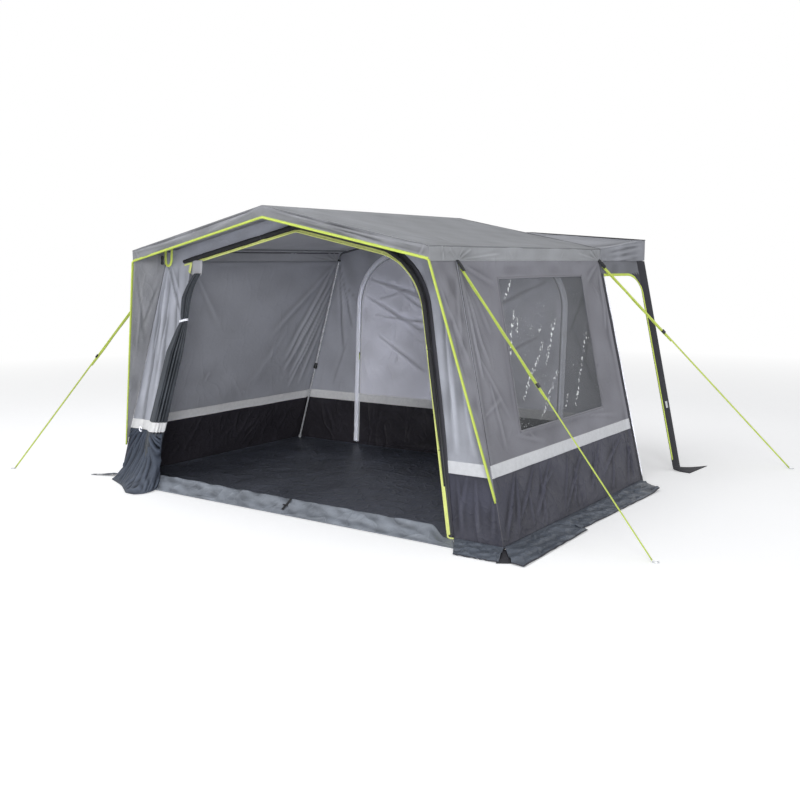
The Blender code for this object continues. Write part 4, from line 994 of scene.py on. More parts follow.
def makeDoorTrim():
    off = trimLook["off"]
    path = doorEdge(0.01, trimLook["piping"], trimLook["leftFoot"])
    tail = (path[0][0] + 0.05, 0.01)
    line = bentLine([(*tail, 0), (*path[0], 0), (*path[1], 0)], 0.012)[:, :2]
    whole = np.concatenate([line[:-1], path[1:]])
    rod("doorPipingCord", offFront(evenly(whole, 320), off), ringProfile(pipingLook["radius"]), frontFacing,
        "doorLime", nodes=["door_piping"])
    flange = evenly(doorEdge(0.03, trimLook["flange"], trimLook["leftFoot"] + 0.01), 320)
    tape("doorPipingFlange", offFront(flange, 0.006), trimLook["flangeWidth"], frontFacing, "doorLime")
    over = evenly([(-1.135, 1.886), (-1.18, 1.877), (-1.222, 1.868)], 12)
    rod("doorPipingEnd", offFront(over, off), ringProfile(0.0075, 12, 0.6), frontFacing, "doorLime")
    # the placket that covers the door's zip runs outside the rolled mesh
    placket = evenly(arch(doorShape, 0.02, trimLook["placket"]), 200)
    grown = hold(placket[:, 1] - 0.05, 0.8)
    placket -= spots(0.016 * (1 - grown), 0)
    tape("zipPlacket", offFront(placket, 0.0045), trimLook["placketWidth"], frontFacing, "darkTape",
         thickness=0.002, columns=7, crown=0.0035, scale=0.45 + 0.55 * grown)
    teeth = evenly(arch(doorShape, 0.03, trimLook["zip"]), 220)
    tape("doorZip", offFront(teeth, 0.0036), trimLook["zipWidth"], frontFacing, "zipTape")


rollLook = {"radius": 0.0175, "turns": 2.6, "core": 0.007, "foot": 0.36, "grow": 0.025, "off": 0.0245,
            "end": -1.06, "past": 0.15, "drawnUp": 0.021, "ties": 6, "tieWidth": 0.014}


def makeMeshRoll():
    path = evenly(doorEdge(rollLook["foot"], rollLook["grow"]), 900)
    path = path[path[:, 0] > rollLook["end"]]
    past = path[-1] - np.array((1, roofSlope)) * rollLook["past"]  # its end runs on past the curtain's tab
    path = evenly([*path, past], 300)
    turnBy = np.linspace(0, rollLook["turns"] * math.tau, 46)
    reach = rollLook["core"] + (rollLook["radius"] - rollLook["core"]) * turnBy / turnBy[-1]
    profile = spots(reach * np.cos(turnBy), reach * np.sin(turnBy))
    place = travelled(path)
    ties = np.linspace(0.25, place[-1] - 0.2, rollLook["ties"])
    pinch = 1 - 0.2 * sum(bell(place - at, 0.028) for at in ties)
    lumps = pinch * (1 + 0.05 * np.sin(place * 19) * np.sin(place * 7.3 + 1))
    tapered = lumps * (0.35 + 0.65 * hold(place, 0.9)) * (0.7 + 0.3 * hold(place[-1] - place, 0.15))
    tapered *= 1 + 0.24 * hold(place - 0.56 * place[-1], 0.5)  # bulkier where it hangs from the left slope
    # drawn up behind the fascia
    path[:, 1] += rollLook["drawnUp"] * within((path[:, 0], 0.12), (1.02 - path[:, 0], 0.3))
    centre = offFront(path, rollLook["off"])
    points, along = sweep(centre, profile, frontFacing, tapered)
    wound = travelled(profile)
    roll = addGrid("meshRoll", points, spots(wound, along[:, None]))
    thicken(dress(roll, ["netCloth"], nodes=["mesh_roll"]), 0.001, offset=0.0)
    angle = np.linspace(0, math.tau, 24, endpoint=False)[:, None]
    facing = unit(np.array(frontFacing))
    toggle = waisted([(0.0005, 0.011), (0.003, 0.01), (0.0036, 0.004)], 0.0026)
    for number, at in enumerate(ties):
        index = int(np.argmin(abs(place - at)))
        spot, ahead = centre[index], unit(centre[index + 1] - centre[index - 1])
        across = np.cross(ahead, facing)
        radius = 0.0152 * float(tapered[index] / 0.8)
        loop = spot + radius * (np.cos(angle) * across + np.sin(angle) * facing)
        hoop(f"rollTie_{number}", loop, ahead, rollLook["tieWidth"], math.tau * radius, "darkTape", 0.0016)
        turned(f"rollToggle_{number}", toggle, spot + facing * (radius + 0.003), across, count=10)


# half widths and sideways shifts of the gathered door from the doorway's edge, by height
curtainShape = {
    "top": 1.8, "tie": 1.41, "foot": 0.092, "flatness": 0.55, "folds": 13, "depth": 0.66,
    "heights": (0, 0.43, 0.5, 1.155, 1.41, 1.6, 1.8),
    "widths": (0.07, 0.096, 0.098, 0.092, 0.042, 0.05, 0.034),
    "shifts": (-0.03, -0.006, 0.002, 0.056, 0.07, 0.054, 0.05),
}


def curtainAt(height):  # its middle and half its width
    edge = arch(doorShape)
    shift, half = (np.interp(height, curtainShape["heights"], curtainShape[key])
                   for key in ("shifts", "widths"))
    return shift - np.interp(height, edge[:, 1], edge[:, 0]), half


def makeCurtain():
    tieAt, top = curtainShape["tie"], curtainShape["top"]
    height = runs([curtainShape["foot"], 0.3, 1.3, tieAt, 1.52, top], [16, 60, 10, 10, 18])
    middle, half = curtainAt(height)
    tie = bell(height - tieAt, 0.035)[:, None]
    half = half[:, None] * (1 - 0.1 * tie)
    deep = half * curtainShape["flatness"]
    angle = np.linspace(math.radians(-262), math.radians(82), 330)
    middle, height = middle[:, None], height[:, None]
    source = random.Random(8)
    sway = 0.16 * sum(np.sin(angle * times + height * source.uniform(0.8, 2.4) + source.uniform(0, 6))
                      for times in (1, 2, 3))
    uneven = 0.2 * np.sin(2 * angle + 1.3) + 0.11 * np.sin(5 * angle + 0.4) + 0.07 * np.sin(9 * angle)
    phase = curtainShape["folds"] * (angle + uneven) + 1.3 * sway + 0.7 * (1.8 - height)
    hollow = (1 - (0.5 + 0.5 * np.cos(phase)) ** 0.55) * (0.62 + 0.38 * np.sin(3 * angle + 2 + 2.6 * height))
    size = (1 - curtainShape["depth"] * hollow * (1 - 0.25 * tie)) * (1 - 0.05 * np.cos(3 * angle + height * 2))
    points = spots(middle + half * size * np.cos(angle),
                   frontY + frontLean * height - deep - 0.012 + deep * size * np.sin(angle), height)
    zones = np.where((height[:-1] > 0.452) & (height[:-1] < 0.536), 1, 0)
    # its fold value sets painted shade in the gathers' hollows and painted highlight on their crests
    piece = addGrid("gatheredDoor", points, spots(travelled(points, 1), height), fold=1 - 2 * hollow,
                    zones=np.repeat(zones, len(angle) - 1, axis=1))
    dress(piece, ["doorCloth", "stripPaintedLight"], nodes=["door_curtain"])
    thicken(piece, 0.001, offset=0.0)
    # its tie and the tab it hangs from
    angle = np.linspace(0, math.tau, 28, endpoint=False)
    centre = (float(curtainAt(tieAt)[0]), frontY + frontLean * tieAt - 0.037, tieAt)
    loop = centre + spots(0.045 * np.cos(angle), 0.026 * np.sin(angle), 0.01 * np.cos(angle))
    hoop("curtainTie", loop, (0, 0, 1), 0.018, 0.22, "paleBinding", 0.0018)
    hang = curtainAt(top)[0] - 0.026
    tab = np.array([(hang + 0.008, 1.905), (hang + 0.008, 1.86), (hang + 0.006, 1.82), (hang + 0.004, 1.785)])
    tab = evenly(offFront(tab, 0.012), 12)
    tape("curtainTab", tab, 0.122, frontFacing, "tabCloth", 0.014, 0.0018, 6, 0.004)


canopyLoopLook = {
    "path": [(-1.388, -1.36, 2.005), (-1.39, -1.363, 1.92), (-1.384, -1.366, 1.884), (-1.366, -1.37, 1.866),
             (-1.345, -1.372, 1.862), (-1.326, -1.37, 1.874), (-1.315, -1.365, 1.905), (-1.311, -1.36, 2.005)],
    "toggle": [(0.001, 0.0), (0.01, 0.002), (0.0125, 0.012), (0.009, 0.038), (0.0125, 0.064), (0.01, 0.074),
               (0.001, 0.076)],
}


def makeCanopyLoop():  # lime loop with its toggle, under the canopy's left corner
    tape("canopyLoop", evenly(canopyLoopLook["path"], 60), 0.02, (0.5, -1, 0), "limeWebbing", 0.002, 0.0018)
    turned("canopyToggle", canopyLoopLook["toggle"], (-1.404, -1.392, 1.872), (0.1, 0, 1), count=16)


makeFrontWall()
makeCanopyLoop()
makeDoorTrim()
makeMeshRoll()
makeCurtain()
print("awning: front wall and doorway made")


# Side walls and window

windowLook = {"low": 0.7, "high": 1.757, "front": frontY + 0.555, "length": 1.4, "rake": 0.13, "welt": 0.014,
              "under": 0.006, "ripple": 0.003}
windowCreases = [
    (-0.1, 1.2, -0.66, 0.72, 16, 3.5), (-0.35, 1.3, -0.8, 0.92, 16, 3), (0.42, 1.3, 0.02, 0.8, 20, 3),
    (-0.8, 1.72, -0.5, 1.3, 20, 3), (0.6, 1.72, 0.3, 1.4, 20, 2.8),
]
sideLook = {"rows": [36, 1, 8, 1, 14, 84, 12], "columns": [50, 110, 36], "sag": 0.01, "ripple": 0.0036}
sideCreases = {
    "right": [
        (-1.285, 1.88, -1.04, 1.38, 15, 12), (-1.29, 1.88, -1.28, 1.1, 16, 15),
        (-1.28, 1.88, -0.86, 1.72, 14, 9), (-1.29, 1.82, -1.15, 1.15, 14, 10), (1.02, 1.88, 0.72, 1.72, 14, 10),
        (1.02, 1.87, 0.9, 1.3, 16, 11), (1.01, 1.8, 0.955, 0.95, 18, 12), (-1.36, 0.85, -1.08, 0.95, 14, 6),
        (-1.2, 1.05, -1.16, 0.6, 16, 7.5), (-1.3, 1.3, -1.02, 0.8, 14, 7), (-1.02, 0.68, -0.6, 0.58, 12, 5.5),
        (0.2, 0.66, 0.75, 0.6, 12, 5), (-1.145, 0.44, -1.41, 0.06, 15, 12), (-1.12, 0.44, -1.24, 0.06, 14, 11),
        (-0.84, 0.44, -1.2, 0.12, 14, 11), (-0.757, 0.44, -0.85, 0.03, 14, 9), (-0.6, 0.44, -0.96, 0.1, 14, 11),
        (-0.3, 0.43, -0.55, 0.05, 14, 9), (-0.02, 0.44, -0.51, 0.06, 14, 11), (0.29, 0.44, -0.05, 0.1, 14, 10),
        (0.74, 0.43, 0.2, 0.18, 14, 12), (0.55, 0.4, 0.35, 0.03, 14, 9), (0.815, 0.45, 0.8, 0.04, 13, 12),
        (0.86, 0.38, 0.66, 0.03, 13, 11),
    ],
    "left": [
        (1.0, 1.9, 0.43, 0.9, 18, 26), (0.98, 1.7, 0.45, 0.78, 17, 24), (0.99, 1.6, 0.555, 0.7, 16, 26),
        (0.97, 1.45, 0.56, 0.6, 16, 22), (1.0, 1.88, 0.15, 1.15, 22, 14), (0.96, 1.3, 0.72, 0.62, 16, 18),
        (0.84, 1.45, 0.54, 0.97, 14, 18), (-0.9, 1.75, -0.55, 1.3, 20, 8), (-1.29, 1.86, -0.9, 1.35, 24, 6),
        (-1.29, 1.86, -1.1, 0.9, 24, 6), (0.4, 1.2, 0.0, 0.7, 30, 4.5), (-0.3, 0.8, -0.1, 0.56, 20, 3.5),
        (0.1, 0.44, -0.12, 0.1, 18, 6.5), (0.7, 0.44, 0.5, 0.1, 18, 6.5), (-0.6, 0.44, -0.8, 0.08, 18, 7),
        (-1.1, 0.44, -1.2, 0.06, 18, 8),
    ],
}


def windowSill(height):  # where the window's front edge is
    return windowLook["front"] + windowLook["rake"] * (height - windowLook["low"])


def makeSideWalls():
    low, high, length = windowLook["low"], windowLook["high"], windowLook["length"]
    rows, counts = runs([0.0012, *stripBreaks, low, high, 1.9], sideLook["rows"]), sideLook["columns"]
    z = rows[:, None]
    edges = [frontY + frontLean * z, windowSill(z), windowSill(z) + length, rearY + rearLean * z]
    parts = [a + (b - a) * np.linspace(0, 1, n, endpoint=False) for a, b, n in zip(edges, edges[1:], counts)]
    flat = spots(np.concatenate([*parts, edges[-1]], 1), z)
    y, z = halvesOf(flat)
    rim = within((y - edges[0], 0.07), (edges[-1] - y, 0.07), (z, 0.04), (hemHeight - z, 0.05))
    gap = np.maximum(np.maximum(low - z, z - high), np.maximum(y - edges[2], edges[1] - y))
    column = np.arange(sum(counts))
    hole = (((rows[:-1] > low - 1e-6) & (rows[1:] < high + 1e-6))[:, None]
            & ((column >= counts[0]) & (column < counts[0] + counts[1])))
    for word, side in sides.items():
        right = word == "right"
        low = spray(70 + side, 26, ((-1.3, 0.85), (0.22, 0.44)), ((-0.22, 0.06), (-0.3, -0.1)), 12, 7.5)
        high = spray(80 + side, 22, ((-1.2, 0.9), (0.62, 1.7)), ((-0.12, 0.12), (-0.25, 0.15)), 14, 5)
        lines = sideCreases[word] + low + high
        lift = rim * (ripple(y, z, 61 + side, 0.42, sideLook["ripple"]) - sideLook["sag"] * bow(z / hemHeight))
        if right:  # it lies flatter round the window
            near = hold(gap, 0.05)
            lift = (lift + rim * creases(y, z, lines, 1.3, 2.0) * near) * (0.25 + 0.75 * near)
        else:
            lift += rim * creases(y, z, lines, 1.5, -1.6)
        cloth("sideCloth_" + word, flat, sideAt(side), (side, 0, 0.3), wallLook, onStrip(z) + lift,
              zones=zonesOf(flat), hole=hole if right else None, nodes=["side_wall_" + word])


def makeWindow():
    low, high, length, under = (windowLook[key] for key in ("low", "high", "length", "under"))
    columns = np.linspace(-under, length + under, 78)
    rows = np.linspace(low - under, high + under, 60)[:, None]
    flat = spots(windowSill(rows) + columns, rows)
    y, z = halvesOf(flat)
    lift = -0.003 + within((columns, 0.06), (length - columns, 0.06), (z - low, 0.06), (high - z, 0.06)) * (
        wrinkles(y, z, 91, 0.5, windowLook["ripple"], windowCreases))
    cloth("windowFilm", flat, sideAt(1), (1, 0, 0.3), ["clearFilm", "clearFilm"], lift, thickness=0.0006,
          nodes=["side_window"])
    grow = windowLook["welt"] / 2 + 0.001
    corners = [(windowSill(height) + over, height) for over, height in (
        (-grow, low - grow), (length + grow, low - grow), (length + grow, high + grow), (-grow, high + grow))]
    for number, (start, end) in enumerate(zip(corners, corners[1:] + corners[:1])):
        line = np.array(start) + (np.array(end) - np.array(start)) * np.linspace(-0.005, 1.005, 40)[:, None]
        line = sideAt(1)(*line.T)
        tape(f"windowWelt_{number}", line, windowLook["welt"], (1, 0, sideLean), "weltTape", 0.0022,
             crown=0.0008)


makeSideWalls()
makeWindow()
print("awning: side walls and window made")


# Rear wall and rear door

rearLook = {
    "ripple": 0.0036,
    "creases": [
        (-1.44, 1.88, -1.24, 1.2, 16, 13), (-1.44, 1.88, -1.35, 0.95, 18, 13), (1.44, 1.88, 1.22, 1.25, 16, 12),
        (1.44, 1.88, 1.38, 0.95, 18, 11), (-1.42, 1.7, -1.2, 1.5, 14, 9), (-1.6, 0.43, -1.45, 0.08, 18, 7),
        (1.6, 0.43, 1.45, 0.08, 18, 7), (-1.3, 1.1, -1.5, 0.58, 20, 4.5), (1.25, 1.3, 1.52, 0.7, 20, 4.5),
    ],
}


def makeRearWall():
    sill = rearDoorShape["sill"]
    door = arch(rearDoorShape, sill)
    heights = runs([sill, *stripBreaks, door[1][1]], [32, 1, 8, 1, 90])
    half = wallHalf(door, heights, ridgeHeight - 0.005 * roofStretch, 26, 24)
    half[1][0] = (halfGround, 0.0012)
    inner, outer = (mirrored(line) for line in half)
    floor = np.linspace(-1, 1, 60)[1:-1]
    inner = np.concatenate([inner, spots(floor * rearDoorShape["width"] / 2, sill)])
    outer = np.concatenate([outer, spots(floor * halfGround, 0.0012)])
    shares = runs([0, 0.04, 1], [3, 56])
    flat = between(inner, outer, shares)
    x, z = halvesOf(flat)
    width, shares = np.linalg.norm(outer - inner, axis=1), shares[:, None]
    small = spray(7, 10, ((-1.8, 1.8), (0.28, 0.44)), ((-0.1, 0.1), (-0.3, -0.12)), 14, 4.5)
    lift = within((shares * width, 0.06), ((1 - shares) * width, 0.06), (z, 0.05)) * (
        wrinkles(x, z, 101, 0.4, rearLook["ripple"], rearLook["creases"] + small, 1.4, -1.4))
    look = ["wallCloth", "reflectiveTape", "wallLower", "rearInside", "stripPaintedLight", "wallLowerInside"]
    zones = zonesOf(np.concatenate([flat, flat[:, :1]], 1))
    cloth("rearCloth", flat, rearAt, (0, 1, 0), look, lift - onStrip(z), closed=True, nodes=["rear_wall"],
          zones=zones)


rearDoorLook = {
    "ripple": 0.005,
    "creases": [
        (-1.05, 1.72, -0.2, 1.5, 18, 19), (-1.08, 1.55, -0.35, 1.2, 18, 18), (-0.95, 1.35, -0.1, 1.28, 16, 14),
        (-0.9, 1.15, -0.3, 0.8, 18, 14), (-0.95, 1.5, -0.53, 1.62, 14, 13), (-0.7, 1.62, -0.26, 1.36, 14, 15),
        (0.95, 1.7, 0.2, 1.35, 20, 15), (0.9, 1.2, 0.3, 0.9, 18, 12), (-0.6, 1.9, -0.4, 1.5, 16, 13),
        (0.1, 1.2, 0.5, 0.7, 18, 10), (-0.35, 1.8, 0.3, 1.65, 16, 13),
    ],
}


def makeRearDoor():
    gap = 0.002
    foot = rearDoorShape["sill"] + gap
    edge = arch(rearDoorShape, foot, -gap)
    heights = runs([foot, *stripBreaks, edge[1][1], edge[-2][1], edge[-1][1]], [44, 1, 8, 1, 84, 40, 16])
    half = np.interp(heights, edge[:, 1], edge[:, 0])
    half[-1] = 0.004
    half = half[:, None]
    flat = spots(half * np.linspace(-1, 1, 200), heights[:, None])
    x, z = halvesOf(flat)
    small = [*spray(9, 18, ((-1.0, 1.0), (0.22, 0.44)), ((-0.12, 0.12), (-0.28, -0.12)), 12, 7),
             *spray(19, 22, ((-1.0, 1.0), (0.65, 1.8)), ((-0.3, 0.3), (-0.15, 0.15)), 14, 7)]
    under = rearDoorShape["peak"] - 0.21 * abs(x) - z
    lift = within((half - abs(x), 0.08), (under, 0.08), (z - rearDoorShape["sill"], 0.06)) * (
        wrinkles(x, z, 111, 0.36, rearDoorLook["ripple"], rearDoorLook["creases"] + small, 1.5, -1.4))
    look = ["wallCloth", "reflectiveTape", "wallLower", "doorInside", "stripPaintedLight", "wallLowerInside"]
    cloth("rearDoorCloth", flat, rearAt, (0, 1, 0), look, lift - onStrip(z), zones=zonesOf(flat),
          body="rear_door", nodes=["rear_door"])


def makeRearTrim():
    def line(foot, grow, rise):  # round the doorway, over the wall's inner face
        return onRear(evenly(mirrored(arch(rearDoorShape, foot, grow)), 300), rise)
    rod("rearBinding", line(0.03, 0.02, 0.0072), ringProfile(0.0075, 14, 0.62), rearInward, "paleBinding",
        nodes=["rear_door_binding"])
    tape("rearZipCover", line(0.034, 0.038, 0.005), 0.046, rearInward, "paleBinding", crown=0.0025, columns=7)
    tape("rearZip", line(0.034, 0.006, 0.0022), 0.024, rearInward, "zipTapePale")
    tape("rearZipOutside", line(0.034, 0.006, -0.0022), 0.024, rearOutward, "zipTape")
    hinge = evenly([(-1.14, 0.031), (1.14, 0.031)], 80)
    tape("rearHingeTape", onRear(hinge, -0.0022), 0.022, rearOutward, "wallLower")
    tape("rearStormFlap", line(0.034, 0.026, -0.0045), 0.04, rearOutward, "greyTape", crown=0.002, columns=6)


makeRearWall()
makeRearDoor()
makeRearTrim()
repaint("blackPlastic", "zip_slider")
repaint("limeWebbing", "zip_pull")
print("awning: rear wall and rear door made")


# Tunnel

tunnelLook = {"post": 0.04, "end": 0.575, "head": 1.755, "corner": 0.17, "eave": 1.883, "start": 1.0573,
              "crown": 2.165, "shoulder": 0.5, "endEave": 2.07, "sag": 0.022, "ripple": 0.0035}
tunnelCreases = [
    (2.04, 1.57, 1.98, 1.15, 12, 10), (2.0, 1.58, 1.94, 1.12, 12, 12), (1.95, 1.59, 1.91, 1.2, 10, 10),
]


def tunnelLine(points):  # half a section with its mirror
    parts = [evenly(points[i:i + 2], count)[:-1] for i, count in enumerate((24, 60, 14))]
    half = np.concatenate([*parts, np.array(points[-1:])])
    return np.concatenate([(half * (-1, 1))[::-1], half[1:]])


def makeTunnelRoof():
    crown, shoulder, endEave = (tunnelLook[key] for key in ("crown", "shoulder", "endEave"))
    hem = hemHeight + 0.004
    start = tunnelLine([(0.0, ridgeHeight), (shoulder, ridgeHeight - roofSlope * shoulder),
                        (halfTop, eaveHeight), (halfTop, hem)])
    end = tunnelLine([(0.0, crown), (shoulder, crown), (tunnelTop, endEave), (tunnelTop, hem)])
    share = np.linspace(0, 1, 52)
    section, share = between(start, end, share), share[:, None]
    x, z = section[..., 0], section[..., 1]
    y = tunnelLook["start"] + (vehicleY - tunnelLook["start"]) * share
    points = spots(x, y, z)
    flat = spots(travelled(section, 1), y)
    a, b = halvesOf(flat)
    slack = np.sin(np.pi * share) ** 0.8
    onTop = hold(1.45 + 0.2 * share - abs(x), 0.12)
    small = spray(23, 26, ((0.1, 3.8), (1.08, 1.6)), ((-0.5, 0.5), (-0.2, 0.2)), 16, 6)
    lift = wrinkles(a, b, 121, 0.32, tunnelLook["ripple"], small, 1.4, 1.5) - tunnelLook["sag"]
    lift *= slack * onTop
    lift += slack * hold(2.0 + 0.08 * share - z, 0.03) * (1 - onTop) * (
        ripple(a * 2, b, 123, 0.25, 0.003) + creases(z, b, tunnelCreases, 1.4, 1.6))
    points -= spots(0, 0, np.where(z < 2.0, 0.02 * slack * hold(2.0 - z, 0.1), 0))
    cloth("tunnelRoofCloth", flat, points, (0, 0, 1), ["tunnelCloth", "roofInside"], lift,
          nodes=["tunnel_roof"])
    rail = evenly([(-tunnelTop, endEave), (-shoulder, crown), (shoulder, crown), (tunnelTop, endEave)], 120)
    tape("beadingTape", spots(rail[:, 0], vehicleY - 0.012, rail[:, 1]), 0.024, (0, 0, 1), "darkTape", 0.0022,
         slotName="strip_cloth")
    for word, side in sides.items():
        ends = (side * halfTop, 1.06, eaveHeight), (side * tunnelTop, vehicleY - 0.004, endEave)
        seam = np.linspace(*ends, 40) + (side * 0.0006, 0, -0.004)
        tape("tunnelEaveSeam_" + word, seam, 0.008, (side, -0.25, 0), "tunnelCloth", 0.0008)
        behind = roofBackY + 0.001
        line = evenly([(side * 0.01, behind, 2.298), (side * halfTop, behind, eaveHeight)], 60)
        tape("tunnelJointSeam_" + word, line, 0.014, (0, 0.25, 1), "roofTape", 0.0016)


def makeTunnelSides():
    post, end, head, corner, eave = (tunnelLook[key] for key in ("post", "end", "head", "corner", "eave"))
    turn = end - corner

    def fillet(grow=0.0):  # the opening's rounded corner
        angle = np.linspace(0, math.pi / 2, 12)
        return spots(turn + (corner + grow) * np.sin(angle), head - corner + (corner + grow) * np.cos(angle))
    heights = runs([0.0012, *stripBreaks, head], [18, 1, 5, 1, 44])
    inner = np.concatenate([spots(post, heights), evenly([(post, head), fillet()[0]], 22)[1:],
                            evenly(fillet(), 18)[1:]])
    outer = np.concatenate([spots(0.0, heights * eave / head), evenly([(0.0, eave), (turn, eave)], 22)[1:],
                            evenly([(turn, eave), (end, eave)], 18)[1:]])
    shares = np.linspace(0, 1, 8)
    flat = between(inner, outer, shares)
    a, z = halvesOf(flat)
    width, shares = np.linalg.norm(outer - inner, axis=1), shares[:, None]
    soft = within((shares * width, 0.03), ((1 - shares) * width, 0.03))
    overHead = (z[:-1, :-1] > head - 0.001) & (z[:-1, 1:] > head - 0.001)
    for word, side in sides.items():
        at, facing = tunnelSideAt(side), np.array((side, -0.28, 0.2))
        look = ["darkTape", "headerCloth", "stripCloth", "stripCloth"]
        cloth("tunnelSideCloth_" + word, flat, at, (side, -0.3, 0.2), look,
              soft * ripple(a, z, 131 + side, 0.25, tunnelLook["ripple"]), zones=np.where(overHead, 1, 0),
              nodes=["tunnel_side_" + word])
        edge, flange = (
            evenly([(post - 0.002, head + 0.002 + grow), (turn, head + 0.002 + grow), *fillet(grow)[1:],
                    (end + 0.001 + grow, 0.1)], 120) for grow in (0.0, 0.01))
        rod("tunnelPiping_" + word, at(*edge.T) + facing * 0.004, ringProfile(0.0052, 10), facing, "limePiping")
        tape("tunnelPipingFlange_" + word, at(*flange.T), 0.015, facing, "limePiping", 0.002)
        line = at(np.full(60, post), np.linspace(0.05, head, 60))
        tape("tunnelPostTape_" + word, line, 0.012, facing, "paleBinding", 0.0016)


padLook = {"start": 0.577, "width": 0.123, "cut": 0.125, "thickness": 0.005, "puff": 0.004, "ground": 0.005,
           "patch": 0.03}


def makeVehicleStrips():
    shares, share = np.linspace(0, 1, 12), np.linspace(0, 1, 14)[1:, None]
    heights = np.linspace(tunnelLook["eave"], 0.02, 70)[:, None]
    for word, side in sides.items():
        at, out = tunnelSideAt(side), (side, -0.3, 0.2)
        upper = at((padLook["start"] + padLook["width"] * shares)[None], heights)
        start, across = upper[-1], shares[:, None]
        inner, outer = start[0], start[-1]
        ground = padLook["ground"]
        goal = ((inner[0] + side * 0.155, inner[1] - 0.02, ground) * (1 - across)
                + (outer[0] + side * 0.165, outer[1] + 0.255, ground) * across)
        foot = between(start, goal, share[:, 0])  # it turns out along the ground
        foot[..., 2] = ground + 0.015 * (1 - share) ** 3 + 0.006 * np.sin(share * 5) * np.sin(shares * math.pi)
        points = np.concatenate([upper, foot])
        puff = padLook["puff"] * np.sin(np.pi * shares) * (1 + 0.4 * np.sin(points[..., 2] * 41 + shares * 3))
        points = points + facings(points, (side, -0.3, 0.3)) * (puff - 0.001)[..., None]
        length = travelled(points[:, 6])
        piece = addGrid("vehiclePad_" + word, points, spots(shares * padLook["cut"], length[:, None]), out)
        thicken(dress(piece, ["stripCloth"], nodes=["vehicle_strip_" + word]), padLook["thickness"])
        patch = at(np.full(12, 0.64), np.linspace(0.62, 0.56, 12))
        tape("padPatch_" + word, patch, padLook["patch"], out, "reflectiveTape", 0.0085)
    repaint("blackPlastic", "vehicle_beading")


makeTunnelRoof()
makeTunnelSides()
makeVehicleStrips()
print("awning: tunnel made")


# Ground cloth

floorLook = {"inset": 0.009, "ripple": 0.0022, "rim": 0.01}


def makeGroundsheet():
    half, front, rear = (reach - floorLook["inset"] for reach in (halfGround, -frontY, rearY))
    front = -front
    flat = spots(runs([-half, -half + 0.05, half - 0.05, half], [5, 120, 5]),
                 runs([front, front + 0.05, rear - 0.05, rear], [4, 84, 5])[:, None])
    a, b = halvesOf(flat)
    rim = 1 - within((half - abs(a), 0.05), (rear - b, 0.05))
    small = spray(15, 26, ((-1.8, 1.7), (-1.3, 0.7)), ((-0.6, 0.6), (-0.25, 0.25)), 22, 6)
    lift = within((half - abs(a), 0.12), (rear - b, 0.12), (b - front, 0.06)) * np.maximum(
        wrinkles(a, b, 141, 0.5, floorLook["ripple"], small), -0.0005)
    lift += floorLook["rim"] * rim ** 1.3 * (0.6 + 0.4 * hold(b - front, 0.2))
    cloth("floorCloth", flat, groundAt, (0, 0, 1), ["groundCloth", "groundCloth"], lift,
          nodes=["groundsheet"])


sillLook = {
    "start": -1.48, "length": 3.045, "toggleAt": 0.1,
    "back": [(0, -0.168), (0.72, -0.024), (0.8, -0.012), (0.86, -0.0075), (1, 0.0015)],
    "rise": [(0, 0.004), (0.36, 0.036), (0.72, 0.083), (0.8, 0.0875), (0.86, 0.082), (1, 0.006)],
    "strap": [(-0.125, 0.026), (-0.09, 0.044), (-0.055, 0.065), (-0.022, 0.088)],
    "toggle": waisted([(0.001, 0.024), (0.006, 0.022), (0.0075, 0.012)], 0.005),
}


def makeSill():
    share = np.linspace(0, 1, 170)
    across = sillLook["start"] + sillLook["length"] * share
    up = runs([0, 0.72, 0.86, 1.0], [16, 7, 6])
    y, z = (np.interp(up, *zip(*sillLook[key])) for key in ("back", "rise"))
    spread = np.interp(up, [0, 0.7], [0.13, 0.0])[:, None]
    flatter = 1 - 0.9 * hold(across - 1.38, 0.11)  # it lies flat where the piping's foot stands
    points = spots(across + np.maximum(share - 0.9, 0) * 10 * spread, frontY + y[:, None], z[:, None] * flatter)
    flat = spots(across, travelled(spots(y, z))[:, None])
    a, b = halvesOf(flat)
    small = spray(17, 40, ((-1.4, 1.35), (0.03, 0.15)), ((-0.22, 0.22), (-0.03, 0.03)), 10, 4)
    lift = ripple(a, b * 3, 151, 0.22, 0.003) + creases(a, b, small)
    lift *= within((b, 0.03), (0.255 - b, 0.03)) * flatter
    cloth("sillCloth", flat, points, (0, -0.5, 1), ["sillFabric", "groundCloth"], lift,
          nodes=["door_sill"])
    # the toggle and loop in the sill's middle
    x = sillLook["toggleAt"]
    strap = evenly([(x, frontY + y, z) for y, z in sillLook["strap"]], 16)
    tape("sillStrap", strap, 0.022, (0, -0.5, 1), "blackWebbing", 0.004)
    turned("sillToggle", sillLook["toggle"], (x, frontY - 0.09, 0.056), (1, 0, 0), count=12)


